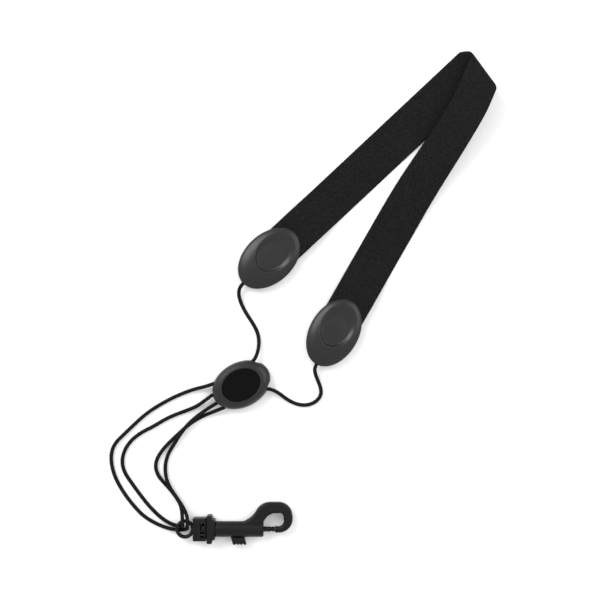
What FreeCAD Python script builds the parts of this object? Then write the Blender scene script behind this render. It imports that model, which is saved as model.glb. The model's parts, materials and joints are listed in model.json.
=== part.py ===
import FreeCAD, Part

import math
import os

import Sketcher

# Saxophone neck strap, laid out on a table, in millimetres.
# X and Y lie in the table's surface and Z points up from it.

SIZES = {
    # webbing neck band
    "web_width": 32.0,
    "web_thickness": 1.7,
    "web_in_cap": 3.0,
    "fold_radius_inner": 4.0,
    "fold_radius_outer": 12.5,
    "fold_reach_inner": 4.5,
    "fold_reach_outer": 5.5,
    # end caps: two domed shells that clamp the webbing
    "cap_half_length": 28.8,
    "cap_half_width": 19.6,
    "cap_half_height": 6.2,
    "dish_shift": 6.4,
    "dish_depth": 1.5,
    "dish_half_length": 34.0,
    "dish_half_width": 25.5,
    "dish_half_height": 3.9,
    "knot_radius": 3.8,
    "knot_place": -14.0,
    "peg_radius": 1.5,
    "cap_peg_place": 6.0,
    "cap_peg_spacing": 8.0,
    "peg_reach": 2.6,
    # cord
    "cord_radius": 1.5,
    "cord_clearance": 0.15,
    "exit_flare": 2.4,
    # slider
    "slider_half_length": 24.4,
    "slider_half_width": 17.9,
    "slider_bulge": 9.0,
    "slider_half_height": 6.0,
    "inlay_half_length": 16.0,
    "inlay_half_width": 12.3,
    "inlay_depth": 1.3,
    "inlay_thickness": 1.0,
    "inlay_clearance": 0.1,
    "turn_radius": 3.7,
    "turn_inset": 0.85,
    "turn_depth": 14.0,
    "mouth_radius": 3.9,
    "exit_radius": 2.9,
    # swivel eye
    "ring_inner": 4.8,
    "ring_outer": 7.7,
    "ring_height": 4.4,
    "ring_rounding": 0.9,
    "cage_start": 6.9,
    "cage_width": 18.2,
    "cage_height": 11.0,
    "cage_block": 5.4,
    "window_length": 3.6,
    "window_width": 12.8,
    "cage_end_wall": 1.2,
    # hook
    "barrel_radius": 6.25,
    "barrel_length": 38.5,
    "barrel_chamfer": 0.6,
    "bore_radius": 3.25,
    "bore_end": 10.0,
    "head_thickness": 7.2,
    "flange_width": 22.4,
    "flange_thickness": 4.4,
    "step_width": 16.0,
    "step_thickness": 2.2,
    "post_radius": 1.8,
    "post_head_radius": 4.2,
    "post_head_length": 2.4,
    "spigot_length": 2.0,
    # gate
    "gate_radius": 2.0,
    "gate_reach": 9.1,
    "gate_travel": 9.5,
    "gate_chamfer": 0.5,
    "collar_front": 13.6,
    "collar_length": 5.0,
    "stem_thickness": 3.0,
    "stem_length": 3.2,
    "stem_setback": 1.5,
    "stem_end": 0.6,
    "stem_root": 0.7,
    "tab_length": 10.6,
    "tab_thickness": 6.0,
    "tab_reach": 12.1,
    "tab_lean": 1.6,
    "tab_slant": 1.5,
    "tooth_depth": 0.9,
    "notch_half_width": 0.8,
    "spring_radius": 2.45,
    "spring_wire": 0.25,
    "spring_coils": 9.0,
    # fits
    "running_fit": 0.05,
    "side_gap": 0.3,
}

SIZE = dict(SIZES)
Z_UP = FreeCAD.Vector(0, 0, 1)
CUT_PAST = 5.0  # how far a cutter runs past what it cuts
TAB_TEETH = 4
X_ALONG = FreeCAD.Rotation(FreeCAD.Vector(0, 1, 0), 90)

# Places of the main pieces on the table, and the way each points, in degrees.
CAP_A_PLACE = (-52.3, 31.0)
CAP_A_ANGLE = 43.15
CAP_B_PLACE = (-0.8, -28.2)
CAP_B_ANGLE = 60.2
SLIDER_PLACE = (-74.48, -69.6)
SLIDER_ANGLE = 28.0
RING_PLACE = (-119.3, -184.3)

# Distances along each leg of the webbing, measured from its cap's centre.
LEG_DOWN = (SIZE["cap_half_length"] + 2.2, SIZE["cap_half_length"] + 39.2)
LEG_A_END_INNER = 224.0
LEG_A_END_OUTER = 212.0
LEG_B_RISE = 92.0
LEG_B_END_INNER = 243.0
LEG_B_END_OUTER = 228.5
LEG_B_BOW = 3.2
LEG_B_BOW_FROM = 115.0
LEG_B_BOW_MOST = 205.0
FOLD_OUT_ANGLE = 38.0

# Routes of the free cords: hand-laid points, from one end of each to the other.
CORD_ROUTES = {
    "cord_upper_a": [
        (-65.5, 18.7, 6.2), (-75.2, 9.6, 6.2), (-77.0, 3.2, 3.4), (-75.3, -4.0, 1.6),
        (-71.7, -11.4, 1.5), (-66.8, -18.8, 1.5), (-62.6, -25.8, 1.5), (-60.6, -32.6, 1.9),
        (-60.6, -39.2, 3.2), (-62.0, -45.4, 5.0), (-64.4, -50.4, 6.0), (-67.6, -52.73, 6.0),
    ],
    "cord_upper_b": [
        (-9.8, -43.9, 6.2), (-16.1, -54.9, 6.2), (-15.9, -60.4, 3.6), (-13.7, -66.2, 1.8),
        (-11.2, -72.2, 1.5), (-10.9, -78.4, 1.5), (-15.2, -83.8, 1.5), (-22.4, -86.4, 1.5),
        (-30.2, -85.6, 1.5), (-37.6, -82.0, 1.8), (-43.4, -77.4, 3.2), (-48.0, -74.4, 5.0),
        (-53.7, -72.5, 6.0), (-56.44, -73.49, 6.0),
    ],
    "cord_lower_loop_1": [
        (-96.1, -68.65, 5.9), (-103.0, -71.2, 4.2), (-113.4, -73.6, 1.8), (-126.6, -78.8, 1.5),
        (-139.6, -85.6, 1.5), (-150.8, -93.0, 1.5), (-160.0, -101.4, 1.5), (-169.2, -110.2, 1.5),
        (-176.0, -117.0, 1.5), (-178.9, -125.2, 1.5), (-178.2, -135.6, 1.5),
        (-174.4, -146.6, 1.5), (-167.4, -158.0, 1.5), (-160.0, -167.4, 1.5),
        (-152.4, -175.2, 1.5), (-142.8, -180.8, 1.6), (-134.2, -184.2, 2.0),
        (-126.8, -185.6, 2.2), (-120.4, -185.6, 2.7), (-117.3, -183.9, 6.4),
        (-117.2, -182.2, 10.4), (-116.8, -178.2, 11.4), (-117.2, -173.8, 10.6),
        (-119.2, -169.0, 9.2), (-122.0, -164.6, 7.6), (-125.2, -160.4, 5.9),
        (-128.9, -155.4, 5.0), (-132.1, -150.2, 4.8), (-134.3, -145.0, 3.5),
        (-135.5, -139.0, 1.8), (-135.2, -132.0, 1.5), (-133.0, -124.8, 1.6),
        (-129.0, -118.4, 2.4), (-125.2, -112.2, 4.2), (-121.2, -106.2, 5.1),
        (-116.4, -100.6, 5.1), (-110.6, -95.4, 4.8), (-104.8, -91.2, 4.5),
        (-98.6, -87.0, 5.0), (-94.0, -84.2, 5.87),
    ],
    "cord_lower_loop_2": [
        (-97.45, -77.7, 5.9), (-103.6, -82.4, 4.2), (-111.0, -87.6, 1.8), (-121.6, -91.6, 1.5),
        (-133.0, -96.0, 1.5), (-144.6, -103.0, 1.5), (-155.4, -108.4, 1.5),
        (-163.2, -114.8, 1.5), (-168.4, -122.8, 1.5), (-170.2, -131.4, 1.5),
        (-168.2, -139.8, 1.5), (-162.6, -148.0, 1.5), (-155.8, -157.4, 1.5),
        (-148.2, -167.0, 1.5), (-140.6, -174.6, 1.5), (-133.6, -179.6, 1.9),
        (-127.2, -182.3, 2.2), (-123.1, -182.3, 2.4), (-120.9, -182.35, 6.6),
        (-120.7, -180.9, 11.9), (-120.9, -176.2, 10.8), (-121.6, -170.6, 6.8),
        (-123.2, -165.4, 3.2), (-126.0, -160.8, 1.7), (-129.6, -156.0, 1.5),
        (-133.3, -151.4, 1.5), (-137.8, -146.8, 1.5), (-141.6, -141.8, 1.5),
        (-143.5, -135.0, 1.5), (-141.8, -128.2, 1.5), (-137.4, -121.6, 1.5),
        (-131.8, -115.6, 1.5), (-126.0, -110.2, 1.5), (-119.8, -104.4, 1.5),
        (-112.8, -99.0, 1.5), (-105.7, -95.0, 1.6), (-98.6, -92.0, 3.2),
        (-92.9, -89.7, 5.1), (-87.7, -87.5, 5.93),
    ],
}

# Ends of the two straight cord passages in the slider, in the slider's own axes.
PASSAGE_A = ((-18.0, 10.9), (13.5, 11.6))
PASSAGE_B = ((-19.5, -9.6), (13.5, -11.8))
MOUTHS = ((17.4, 12.6), (17.6, -12.6))
LOWER_EXITS = ((-19.6, 11.0), (-24.6, 3.8), (-24.6, -3.8), (-21.2, -9.7))
SLIDER_PEGS = (1.0, 11.0)


def make_sheet(doc):
    """Write every size to the spreadsheet and give its cell the size's name."""
    sheet = doc.addObject("Spreadsheet::Sheet", "Sizes")
    for row, (name, value) in enumerate(SIZES.items(), start=1):
        sheet.set(f"A{row}", name)
        sheet.set(f"B{row}", str(value))
        sheet.setAlias(f"B{row}", name)
    doc.recompute()
    return sheet


def frame_at(place, height, angle=0.0):
    """Placement of a piece that stands at a place on the table."""
    base = FreeCAD.Vector(place[0], place[1], height)
    return FreeCAD.Placement(base, FreeCAD.Rotation(Z_UP, angle))


def add(doc, kind, name, expressions, base=None, rotation=None):
    """Add a Part primitive whose sizes follow the sheet."""
    item = doc.addObject(kind, name)
    for prop, text in expressions.items():
        item.setExpression(prop, text)
    item.Placement = FreeCAD.Placement(
        base or FreeCAD.Vector(), rotation or FreeCAD.Rotation()
    )
    return item


def size(name):
    """Expression that reads one size from the sheet."""
    return f"Sizes.{name}"


def ellipsoid(doc, name, length, width, height):
    """Ellipsoid about the origin: half length on X, half width on Y, half height on Z."""
    return add(
        doc, "Part::Ellipsoid", name, {"Radius2": length, "Radius3": width, "Radius1": height}
    )


def block(doc, name, low, high):
    """Box between two corners, each a tuple of three expressions."""
    return add(
        doc, "Part::Box", name,
        {
            "Length": f"({high[0]}) - ({low[0]})",
            "Width": f"({high[1]}) - ({low[1]})",
            "Height": f"({high[2]}) - ({low[2]})",
            "Placement.Base.x": low[0],
            "Placement.Base.y": low[1],
            "Placement.Base.z": low[2],
        },
    )


def rod(doc, name, start, end, radius):
    """Cylinder from one point to another, its radius an expression."""
    start = FreeCAD.Vector(*start)
    axis = FreeCAD.Vector(*end) - start
    item = add(doc, "Part::Cylinder", name, {"Radius": radius}, start)
    item.Height = axis.Length
    item.Placement.Rotation = FreeCAD.Rotation(Z_UP, axis)
    return item


def combine(doc, kind, name, shapes):
    """Part::MultiFuse or Part::MultiCommon of several objects."""
    item = doc.addObject(kind, name)
    item.Shapes = shapes
    return item


def cut(doc, label, base, tools, placement):
    """Cut the tools out of the base and place the result as a named sub-part."""
    tool = combine(doc, "Part::MultiFuse", label + "_tools", tools)
    item = doc.addObject("Part::Cut", label)
    item.Base = base
    item.Tool = tool
    item.Label = label
    item.Placement = placement
    return item


def half_space(doc, name, upper):
    """Box that keeps one side of the parting plane."""
    reach = "2 * Sizes.cap_half_length"
    low = "0" if upper else f"-{reach}"
    high = reach if upper else "0"
    return block(doc, name, (f"-{reach}", f"-{reach}", low), (reach, reach, high))


def cap_shell(doc, label, upper, placement):
    """One half of an end cap: a dome with a dish, clamped on the webbing."""
    dome = ellipsoid(
        doc, label + "_dome", size("cap_half_length"), size("cap_half_width"),
        size("cap_half_height"),
    )
    half = combine(
        doc, "Part::MultiCommon", label + "_half", [dome, half_space(doc, label + "_side", upper)]
    )
    dish = ellipsoid(
        doc, label + "_dish", size("dish_half_length"), size("dish_half_width"),
        size("dish_half_height"),
    )
    sign = "" if upper else "-"
    dish.setExpression("Placement.Base.x", size("dish_shift"))
    dish.setExpression(
        "Placement.Base.z",
        f"{sign}(Sizes.cap_half_height + Sizes.dish_half_height - Sizes.dish_depth)",
    )
    slot = block(
        doc, label + "_slot",
        (
            "-Sizes.web_in_cap - Sizes.side_gap",
            "-Sizes.web_width / 2 - Sizes.side_gap",
            "-Sizes.web_thickness / 2 - Sizes.running_fit",
        ),
        (
            "2 * Sizes.cap_half_length",
            "Sizes.web_width / 2 + Sizes.side_gap",
            "Sizes.web_thickness / 2 + Sizes.running_fit",
        ),
    )
    knot_room = add(
        doc, "Part::Sphere", label + "_knot_room",
        {"Radius": "Sizes.knot_radius + Sizes.side_gap", "Placement.Base.x": size("knot_place")},
    )
    bore = rod(
        doc, label + "_bore", (-2 * SIZE["cap_half_length"], 0, 0), (SIZE["knot_place"], 0, 0),
        "Sizes.cord_radius + Sizes.cord_clearance",
    )
    flare = add(
        doc, "Part::Sphere", label + "_flare",
        {"Radius": size("exit_flare"), "Placement.Base.x": "-Sizes.cap_half_length"},
    )
    tools = [dish, slot, knot_room, bore, flare]
    pegs = []
    for row in (-1, 1):
        place = f"{row} * Sizes.cap_peg_spacing"
        name = f"{label}_peg_{row + 1}"
        fit = "Sizes.running_fit + " if upper else ""
        peg = add(
            doc, "Part::Cylinder", name,
            {
                "Radius": f"{fit}Sizes.peg_radius",
                "Height": "2 * Sizes.peg_reach",
                "Placement.Base.x": size("cap_peg_place"),
                "Placement.Base.y": place,
                "Placement.Base.z": "-Sizes.peg_reach",
            },
        )
        pegs.append(peg)
    if upper:
        return cut(doc, label, half, tools + pegs, placement)
    hollow = cut(doc, label + "_hollow", half, tools, FreeCAD.Placement())
    shell = combine(doc, "Part::MultiFuse", label, [hollow] + pegs)
    shell.Label = label
    shell.Placement = placement
    return shell


def cord_knot(doc, label, placement):
    """Stopper knot at the end of the cord, a ball inside the cap."""
    ball = add(doc, "Part::Sphere", label, {"Radius": size("knot_radius")})
    ball.Label = label
    ball.Placement = placement.multiply(
        FreeCAD.Placement(FreeCAD.Vector(SIZE["knot_place"], 0, 0), FreeCAD.Rotation())
    )
    return ball


def smooth(value, start, end):
    """Smooth step from 0 at start to 1 at end."""
    part = min(max((value - start) / (end - start), 0.0), 1.0)
    return part * part * (3 - 2 * part)


def leg_height(distance):
    """Height of the webbing's middle surface near a cap, which it enters at the parting."""
    floor = SIZE["web_thickness"] / 2
    return SIZE["cap_half_height"] + (floor - SIZE["cap_half_height"]) * smooth(distance, *LEG_DOWN)


def leg_point(place, angle, along, across, height):
    """Point on a leg: along it from its cap, and across it to the left."""
    direction = math.radians(angle)
    return FreeCAD.Vector(
        place[0] + along * math.cos(direction) - across * math.sin(direction),
        place[1] + along * math.sin(direction) + across * math.cos(direction),
        height,
    )


def leg_a_sections(steps):
    """Edge pairs of the under leg, from inside cap A to the fold."""
    half = SIZE["web_width"] / 2
    sections = []
    for step in range(steps + 1):
        share = step / steps
        left_at = -SIZE["web_in_cap"] + share * (LEG_A_END_INNER + SIZE["web_in_cap"])
        right_at = -SIZE["web_in_cap"] + share * (LEG_A_END_OUTER + SIZE["web_in_cap"])
        left = leg_point(CAP_A_PLACE, CAP_A_ANGLE, left_at, half, leg_height(left_at))
        right = leg_point(CAP_A_PLACE, CAP_A_ANGLE, right_at, -half, leg_height(right_at))
        sections.append((left, right))
    return sections


def leg_b_point(along, across, lift):
    """Point on the upper leg, which climbs to the fold and bows a little."""
    rise = smooth(along, LEG_B_RISE, LEG_B_END_INNER)
    tilt = math.asin(
        2 * (SIZE["fold_radius_outer"] - SIZE["fold_radius_inner"]) / SIZE["web_width"]
    )
    narrowing = 1 - rise * (1 - math.cos(tilt))
    bow = LEG_B_BOW * (
        smooth(along, LEG_B_BOW_FROM, LEG_B_BOW_MOST)
        - smooth(along, LEG_B_BOW_MOST, LEG_B_END_INNER)
    )
    height = leg_height(along) + 2 * lift * rise
    return leg_point(CAP_B_PLACE, CAP_B_ANGLE, along, across * narrowing - bow, height)


def leg_b_sections(steps):
    """Edge pairs of the upper leg, from the fold down to inside cap B."""
    half = SIZE["web_width"] / 2
    sections = []
    for step in range(steps + 1):
        share = 1 - step / steps
        inner_at = -SIZE["web_in_cap"] + share * (LEG_B_END_INNER + SIZE["web_in_cap"])
        outer_at = -SIZE["web_in_cap"] + share * (LEG_B_END_OUTER + SIZE["web_in_cap"])
        inner = leg_b_point(inner_at, half, SIZE["fold_radius_inner"])
        outer = leg_b_point(outer_at, -half, SIZE["fold_radius_outer"])
        sections.append((inner, outer))
    return sections


def fold_edge(start, end, farthest, share):
    """Point on one edge of the fold, a half turn that also moves from start to end."""
    turn = math.pi * share
    out = math.radians(FOLD_OUT_ANGLE)
    base = start + (end - start) * share
    reach = farthest * math.sin(turn)
    return FreeCAD.Vector(
        base.x + reach * math.cos(out),
        base.y + reach * math.sin(out),
        start.z + (end.z - start.z) * (1 - math.cos(turn)) / 2,
    )


def fold_sections(first, last, steps):
    """Edge pairs round the fold, between the two legs."""
    sections = []
    for step in range(1, steps):
        share = step / steps
        inner = fold_edge(first[0], last[0], SIZE["fold_reach_inner"], share)
        outer = fold_edge(first[1], last[1], SIZE["fold_reach_outer"], share)
        sections.append((inner, outer))
    return sections


def band_solid(sections, thickness):
    """Closed band of flat facets, half the thickness on each side of its middle surface."""
    rings = []
    for index, (left, right) in enumerate(sections):
        before = sections[max(index - 1, 0)]
        after = sections[min(index + 1, len(sections) - 1)]
        along = (after[0] + after[1]) - (before[0] + before[1])
        normal = along.cross(left - right).normalize() * (thickness / 2)
        rings.append([left + normal, right + normal, right - normal, left - normal])
    faces = []
    for near, far in zip(rings, rings[1:]):
        for side in range(4):
            other = (side + 1) % 4
            for triangle in (
                (near[side], near[other], far[other]),
                (near[side], far[other], far[side]),
            ):
                faces.append(Part.Face(Part.makePolygon(list(triangle) + [triangle[0]])))
    for ring in (rings[0], rings[-1]):
        faces.append(Part.Face(Part.makePolygon(ring + [ring[0]])))
    solid = Part.Solid(Part.Shell(faces))
    if solid.Volume < 0:
        solid.reverse()
    return solid


def webbing(doc, cap_frames):
    """Neck band: two flat legs joined by one loose fold, with the caps' peg holes."""
    leg_a = leg_a_sections(24)
    leg_b = leg_b_sections(30)
    sections = leg_a + fold_sections(leg_a[-1], leg_b[0], 12) + leg_b
    band = band_solid(sections, SIZE["web_thickness"])
    reach = 2 * SIZE["web_thickness"]
    for frame in cap_frames:
        for row in (-1, 1):
            local = FreeCAD.Vector(SIZE["cap_peg_place"], row * SIZE["cap_peg_spacing"], -reach / 2)
            radius = SIZE["peg_radius"] + SIZE["side_gap"]
            band = band.cut(Part.makeCylinder(radius, reach, frame.multVec(local), Z_UP))
    item = doc.addObject("Part::Feature", "webbing")
    item.Shape = band
    item.Label = "webbing"
    middles = [(left + right) * 0.5 for left, right in sections]
    length = sum((b - a).Length for a, b in zip(middles, middles[1:]))
    print(f"webbing: centre length {length:.1f} mm, volume {band.Volume:.0f} mm3")
    return item


def cord_path(points):
    """Wire of straight runs joined by tangent arcs, with the radii of its arcs."""
    points = [FreeCAD.Vector(*point) for point in points]
    edges = []
    radii = []
    start = points[0]
    for before, corner, after in zip(points, points[1:], points[2:]):
        incoming = corner - before
        outgoing = after - corner
        turn = incoming.getAngle(outgoing)
        trim = 0.45 * min(incoming.Length, outgoing.Length)
        radii.append(trim / math.tan(turn / 2))
        enter = corner - incoming.normalize() * trim
        leave = corner + outgoing.normalize() * trim
        centre_way = (enter + leave) * 0.5 - corner
        sagitta = radii[-1] * (1 / math.cos(turn / 2) - 1)
        middle = corner + centre_way.normalize() * sagitta
        edges.append(Part.LineSegment(start, enter).toShape())
        edges.append(Part.Arc(enter, middle, leave).toShape())
        start = leave
    edges.append(Part.LineSegment(start, points[-1]).toShape())
    return Part.Wire(edges), radii


def tube_along(path):
    """Round solid of the cord's section along a wire."""
    first = path.Edges[0]
    start = first.valueAt(first.FirstParameter)
    direction = first.tangentAt(first.FirstParameter)
    ring = Part.Wire(Part.makeCircle(SIZE["cord_radius"], start, direction))
    return path.makePipeShell([ring], True, False)


def report_tube(label, path, solid, radii):
    """Print a cord's length and radii, and compare its volume with section times length."""
    expected = math.pi * SIZE["cord_radius"] ** 2 * path.Length
    worst = min(radii) if radii else 0
    listed = " ".join(f"{radius:.1f}" for radius in radii)
    print(f"{label}: length {path.Length:.1f} mm, volume ratio {solid.Volume / expected:.4f}")
    print(f"  smallest radius {worst:.1f}, radii {listed}")


def free_cord(doc, label, points):
    """Plain tube along a free cord's route."""
    path, radii = cord_path(points)
    solid = tube_along(path)
    report_tube(label, path, solid, radii)
    item = doc.addObject("Part::Feature", label)
    item.Shape = solid
    item.Label = label
    return item


def held_cord(doc, label, path, placement):
    """Cord stretch that lies in the slider's own passages."""
    solid = tube_along(path)
    report_tube(label, path, solid, [])
    item = doc.addObject("Part::Feature", label)
    item.Shape = solid
    item.Label = label
    item.Placement = placement
    return item


def passage_path(ends):
    """Straight path of one passage."""
    start, end = (FreeCAD.Vector(x, y, 0) for x, y in ends)
    return Part.Wire([Part.LineSegment(start, end).toShape()])


def turn_path():
    """Path of the cord's turn inside the slider: in, half a turn, and out again."""
    radius = SIZE["turn_radius"]
    edge = -SIZE["slider_half_length"] + SIZE["turn_inset"]
    inside = edge + SIZE["turn_depth"]
    return Part.Wire([
        Part.LineSegment(
            FreeCAD.Vector(edge, radius, 0), FreeCAD.Vector(inside, radius, 0)
        ).toShape(),
        Part.Arc(
            FreeCAD.Vector(inside, radius, 0),
            FreeCAD.Vector(inside + radius, 0, 0),
            FreeCAD.Vector(inside, -radius, 0),
        ).toShape(),
        Part.LineSegment(
            FreeCAD.Vector(inside, -radius, 0), FreeCAD.Vector(edge, -radius, 0)
        ).toShape(),
    ])


def slider_channels(doc, label):
    """Cutters for the cord's two passages, its turn and the flared mouths."""
    radius = "Sizes.cord_radius + Sizes.cord_clearance"
    tools = []
    for name, (low, high) in (("a", PASSAGE_A), ("b", PASSAGE_B)):
        slope = (high[1] - low[1]) / (high[0] - low[0])
        reach = 2 * SIZE["slider_half_length"]
        start = (low[0] - reach, low[1] - slope * reach, 0)
        end = (high[0] + CUT_PAST, high[1] + slope * CUT_PAST, 0)
        tools.append(rod(doc, f"{label}_passage_{name}", start, end, radius))
    for radius_name, places in (("mouth_radius", MOUTHS), ("exit_radius", LOWER_EXITS)):
        for number, place in enumerate(places):
            mouth = add(
                doc, "Part::Sphere", f"{label}_{radius_name}_{number}",
                {"Radius": size(radius_name)}, FreeCAD.Vector(place[0], place[1], 0),
            )
            tools.append(mouth)
    inside = -SIZE["slider_half_length"] + SIZE["turn_inset"] + SIZE["turn_depth"]
    ring = add(
        doc, "Part::Torus", label + "_turn",
        {"Radius1": size("turn_radius"), "Radius2": radius}, FreeCAD.Vector(inside, 0, 0),
    )
    ring.Angle3 = 180
    ring.Placement.Rotation = FreeCAD.Rotation(Z_UP, -90)
    tools.append(ring)
    for row in (-1, 1):
        across = row * SIZE["turn_radius"]
        start = (-2 * SIZE["slider_half_length"], across, 0)
        tools.append(rod(doc, f"{label}_leg_{row + 1}", start, (inside, across, 0), radius))
    return tools


def oval_plate(doc, name, length, width, thickness, height):
    """Flat oval plate with its underside at a height."""
    outline = add(
        doc, "Part::Ellipse", name + "_outline", {"MajorRadius": length, "MinorRadius": width}
    )
    plate = doc.addObject("Part::Extrusion", name)
    plate.Base = outline
    plate.DirMode = "Custom"
    plate.Dir = Z_UP
    plate.Solid = True
    plate.setExpression("LengthFwd", thickness)
    plate.setExpression("Placement.Base.z", height)
    return plate


def slider_shell(doc, label, upper, placement):
    """One half of the slider: a bulged oval with the cord's passages along its parting."""
    bulge = ellipsoid(
        doc, label + "_bulge", size("slider_half_length"), size("slider_half_width"),
        size("slider_bulge"),
    )
    reach = "2 * Sizes.slider_half_length"
    low = "0" if upper else "-Sizes.slider_half_height"
    high = "Sizes.slider_half_height" if upper else "0"
    slab = block(doc, label + "_slab", (f"-{reach}", f"-{reach}", low), (reach, reach, high))
    half = combine(doc, "Part::MultiCommon", label + "_half", [bulge, slab])
    tools = slider_channels(doc, label)
    pegs = []
    for number, place in enumerate(SLIDER_PEGS):
        fit = "Sizes.running_fit + " if upper else ""
        peg = add(
            doc, "Part::Cylinder", f"{label}_peg_{number}",
            {
                "Radius": f"{fit}Sizes.peg_radius",
                "Height": "2 * Sizes.peg_reach",
                "Placement.Base.z": "-Sizes.peg_reach",
            },
            FreeCAD.Vector(place, 0, 0),
        )
        pegs.append(peg)
    if upper:
        recess = oval_plate(
            doc, label + "_recess", size("inlay_half_length"), size("inlay_half_width"),
            "2 * Sizes.inlay_depth", "Sizes.slider_half_height - Sizes.inlay_depth",
        )
        return cut(doc, label, half, tools + pegs + [recess], placement)
    hollow = cut(doc, label + "_hollow", half, tools, FreeCAD.Placement())
    shell = combine(doc, "Part::MultiFuse", label, [hollow] + pegs)
    shell.Label = label
    shell.Placement = placement
    return shell


def slider_inlay(doc, placement):
    """Glossy oval plate in the slider's recess, left bare."""
    item = oval_plate(
        doc, "slider_inlay",
        "Sizes.inlay_half_length - Sizes.inlay_clearance",
        "Sizes.inlay_half_width - Sizes.inlay_clearance",
        size("inlay_thickness"), "Sizes.slider_half_height - Sizes.inlay_depth",
    )
    item.Label = "slider_inlay"
    lift = FreeCAD.Vector(0, 0, SIZE["slider_half_height"] - SIZE["inlay_depth"])
    item.setExpression("Placement.Base.z", None)
    item.Placement = placement.multiply(FreeCAD.Placement(lift, FreeCAD.Rotation()))
    return item


def origin_plane(body, role):
    """One of the body's own origin planes."""
    return next(item for item in body.Origin.OriginFeatures if item.Role == role)


def new_body(doc, label):
    """Body whose label names its file."""
    body = doc.addObject("PartDesign::Body", label)
    body.Label = label
    return body


def polygon_sketch(body, name, points, plane="XY_Plane"):
    """Closed sketch of straight lines through hand-set corners on an origin plane."""
    sketch = body.newObject("Sketcher::SketchObject", name)
    sketch.AttachmentSupport = [(origin_plane(body, plane), "")]
    sketch.MapMode = "FlatFace"
    corners = [FreeCAD.Vector(x, y, 0) for x, y in points]
    for start, end in zip(corners, corners[1:] + corners[:1]):
        sketch.addGeometry(Part.LineSegment(start, end), False)
    count = len(corners)
    for index in range(count):
        sketch.addConstraint(Sketcher.Constraint("Coincident", index, 2, (index + 1) % count, 1))
    return sketch


def bind_points(sketch, points):
    """Drive each corner's place on X and Y by an expression."""
    for index, (x_text, y_text) in enumerate(points):
        for kind, text in (("DistanceX", x_text), ("DistanceY", y_text)):
            value = getattr(sketch.Geometry[index].StartPoint, kind[-1].lower())
            number = sketch.addConstraint(Sketcher.Constraint(kind, -1, 1, index, 1, value))
            sketch.setExpression(f"Constraints[{number}]", text)


def read(text):
    """Add up the signed terms of a size expression, each a number or a sheet's cell."""
    total = 0.0
    for term in text.replace("-", "+-").split("+"):
        term = term.strip()
        if not term:
            continue
        sign = -1.0 if term.startswith("-") else 1.0
        term = term.lstrip("- ")
        factor = 1.0
        if "/" in term:
            term, divisor = (piece.strip() for piece in term.split("/"))
            factor = 1.0 / float(divisor)
        value = SIZE[term[6:]] if term.startswith("Sizes.") else float(term)
        total += sign * value * factor
    return total


def driven_sketch(body, name, points, plane="XY_Plane"):
    """Closed sketch whose corners are expressions of the sheet's sizes."""
    numbers = [(read(x_text), read(y_text)) for x_text, y_text in points]
    sketch = polygon_sketch(body, name, numbers, plane)
    bind_points(sketch, points)
    return sketch


def feature(body, kind, name, sketch, **settings):
    """Sketch-based feature of a body."""
    item = body.newObject(kind, name)
    item.Profile = sketch
    for prop, value in settings.items():
        setattr(item, prop, value)
    sketch.Visibility = False
    return item


def spin(body, kind, name, sketch, axis="X_Axis"):
    """Revolution or groove of a sketch by a full turn about one of the body's axes."""
    item = feature(body, kind, name, sketch)
    item.ReferenceAxis = (origin_plane(body, axis), [""])
    item.Angle = 360
    return item


def rectangle(x_low, x_high, y_low, y_high):
    """Corners of a rectangle, as expressions."""
    return [(x_low, y_low), (x_high, y_low), (x_high, y_high), (x_low, y_high)]


def swivel_eye(doc, placement):
    """Ring for the cord with a cage that the hook's post turns in."""
    body = new_body(doc, "swivel_eye")
    half = "Sizes.ring_height / 2"
    profile = driven_sketch(
        body, "eye_profile",
        [
            ("Sizes.ring_inner + Sizes.ring_rounding", f"-{half}"),
            ("Sizes.ring_outer - Sizes.ring_rounding", f"-{half}"),
            ("Sizes.ring_outer", f"-{half} + Sizes.ring_rounding"),
            ("Sizes.ring_outer", f"{half} - Sizes.ring_rounding"),
            ("Sizes.ring_outer - Sizes.ring_rounding", half),
            ("Sizes.ring_inner + Sizes.ring_rounding", half),
            ("Sizes.ring_inner", f"{half} - Sizes.ring_rounding"),
            ("Sizes.ring_inner", f"-{half} + Sizes.ring_rounding"),
        ],
        "XZ_Plane",
    )
    spin(body, "PartDesign::Revolution", "eye_ring", profile, "Z_Axis")
    window_start = "Sizes.cage_start + Sizes.cage_block"
    window_end = window_start + " + Sizes.window_length"
    cage_end = window_end + " + Sizes.cage_end_wall"
    side = "Sizes.cage_width / 2"
    outline = driven_sketch(
        body, "cage_outline", rectangle("Sizes.cage_start", cage_end, f"-{side}", side)
    )
    cage = feature(body, "PartDesign::Pad", "cage", outline, Midplane=True)
    cage.setExpression("Length", size("cage_height"))
    inner = "Sizes.window_width / 2"
    opening = driven_sketch(
        body, "cage_window_outline", rectangle(window_start, window_end, f"-{inner}", inner)
    )
    window = feature(body, "PartDesign::Pocket", "cage_window", opening, Midplane=True)
    window.setExpression("Length", "2 * Sizes.cage_height")
    hole = driven_sketch(
        body, "post_hole_profile",
        rectangle(
            window_start, cage_end + " + Sizes.side_gap", "0",
            "Sizes.post_radius + Sizes.running_fit",
        ),
    )
    spin(body, "PartDesign::Groove", "post_hole", hole)
    body.Placement = placement
    return body


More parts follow.
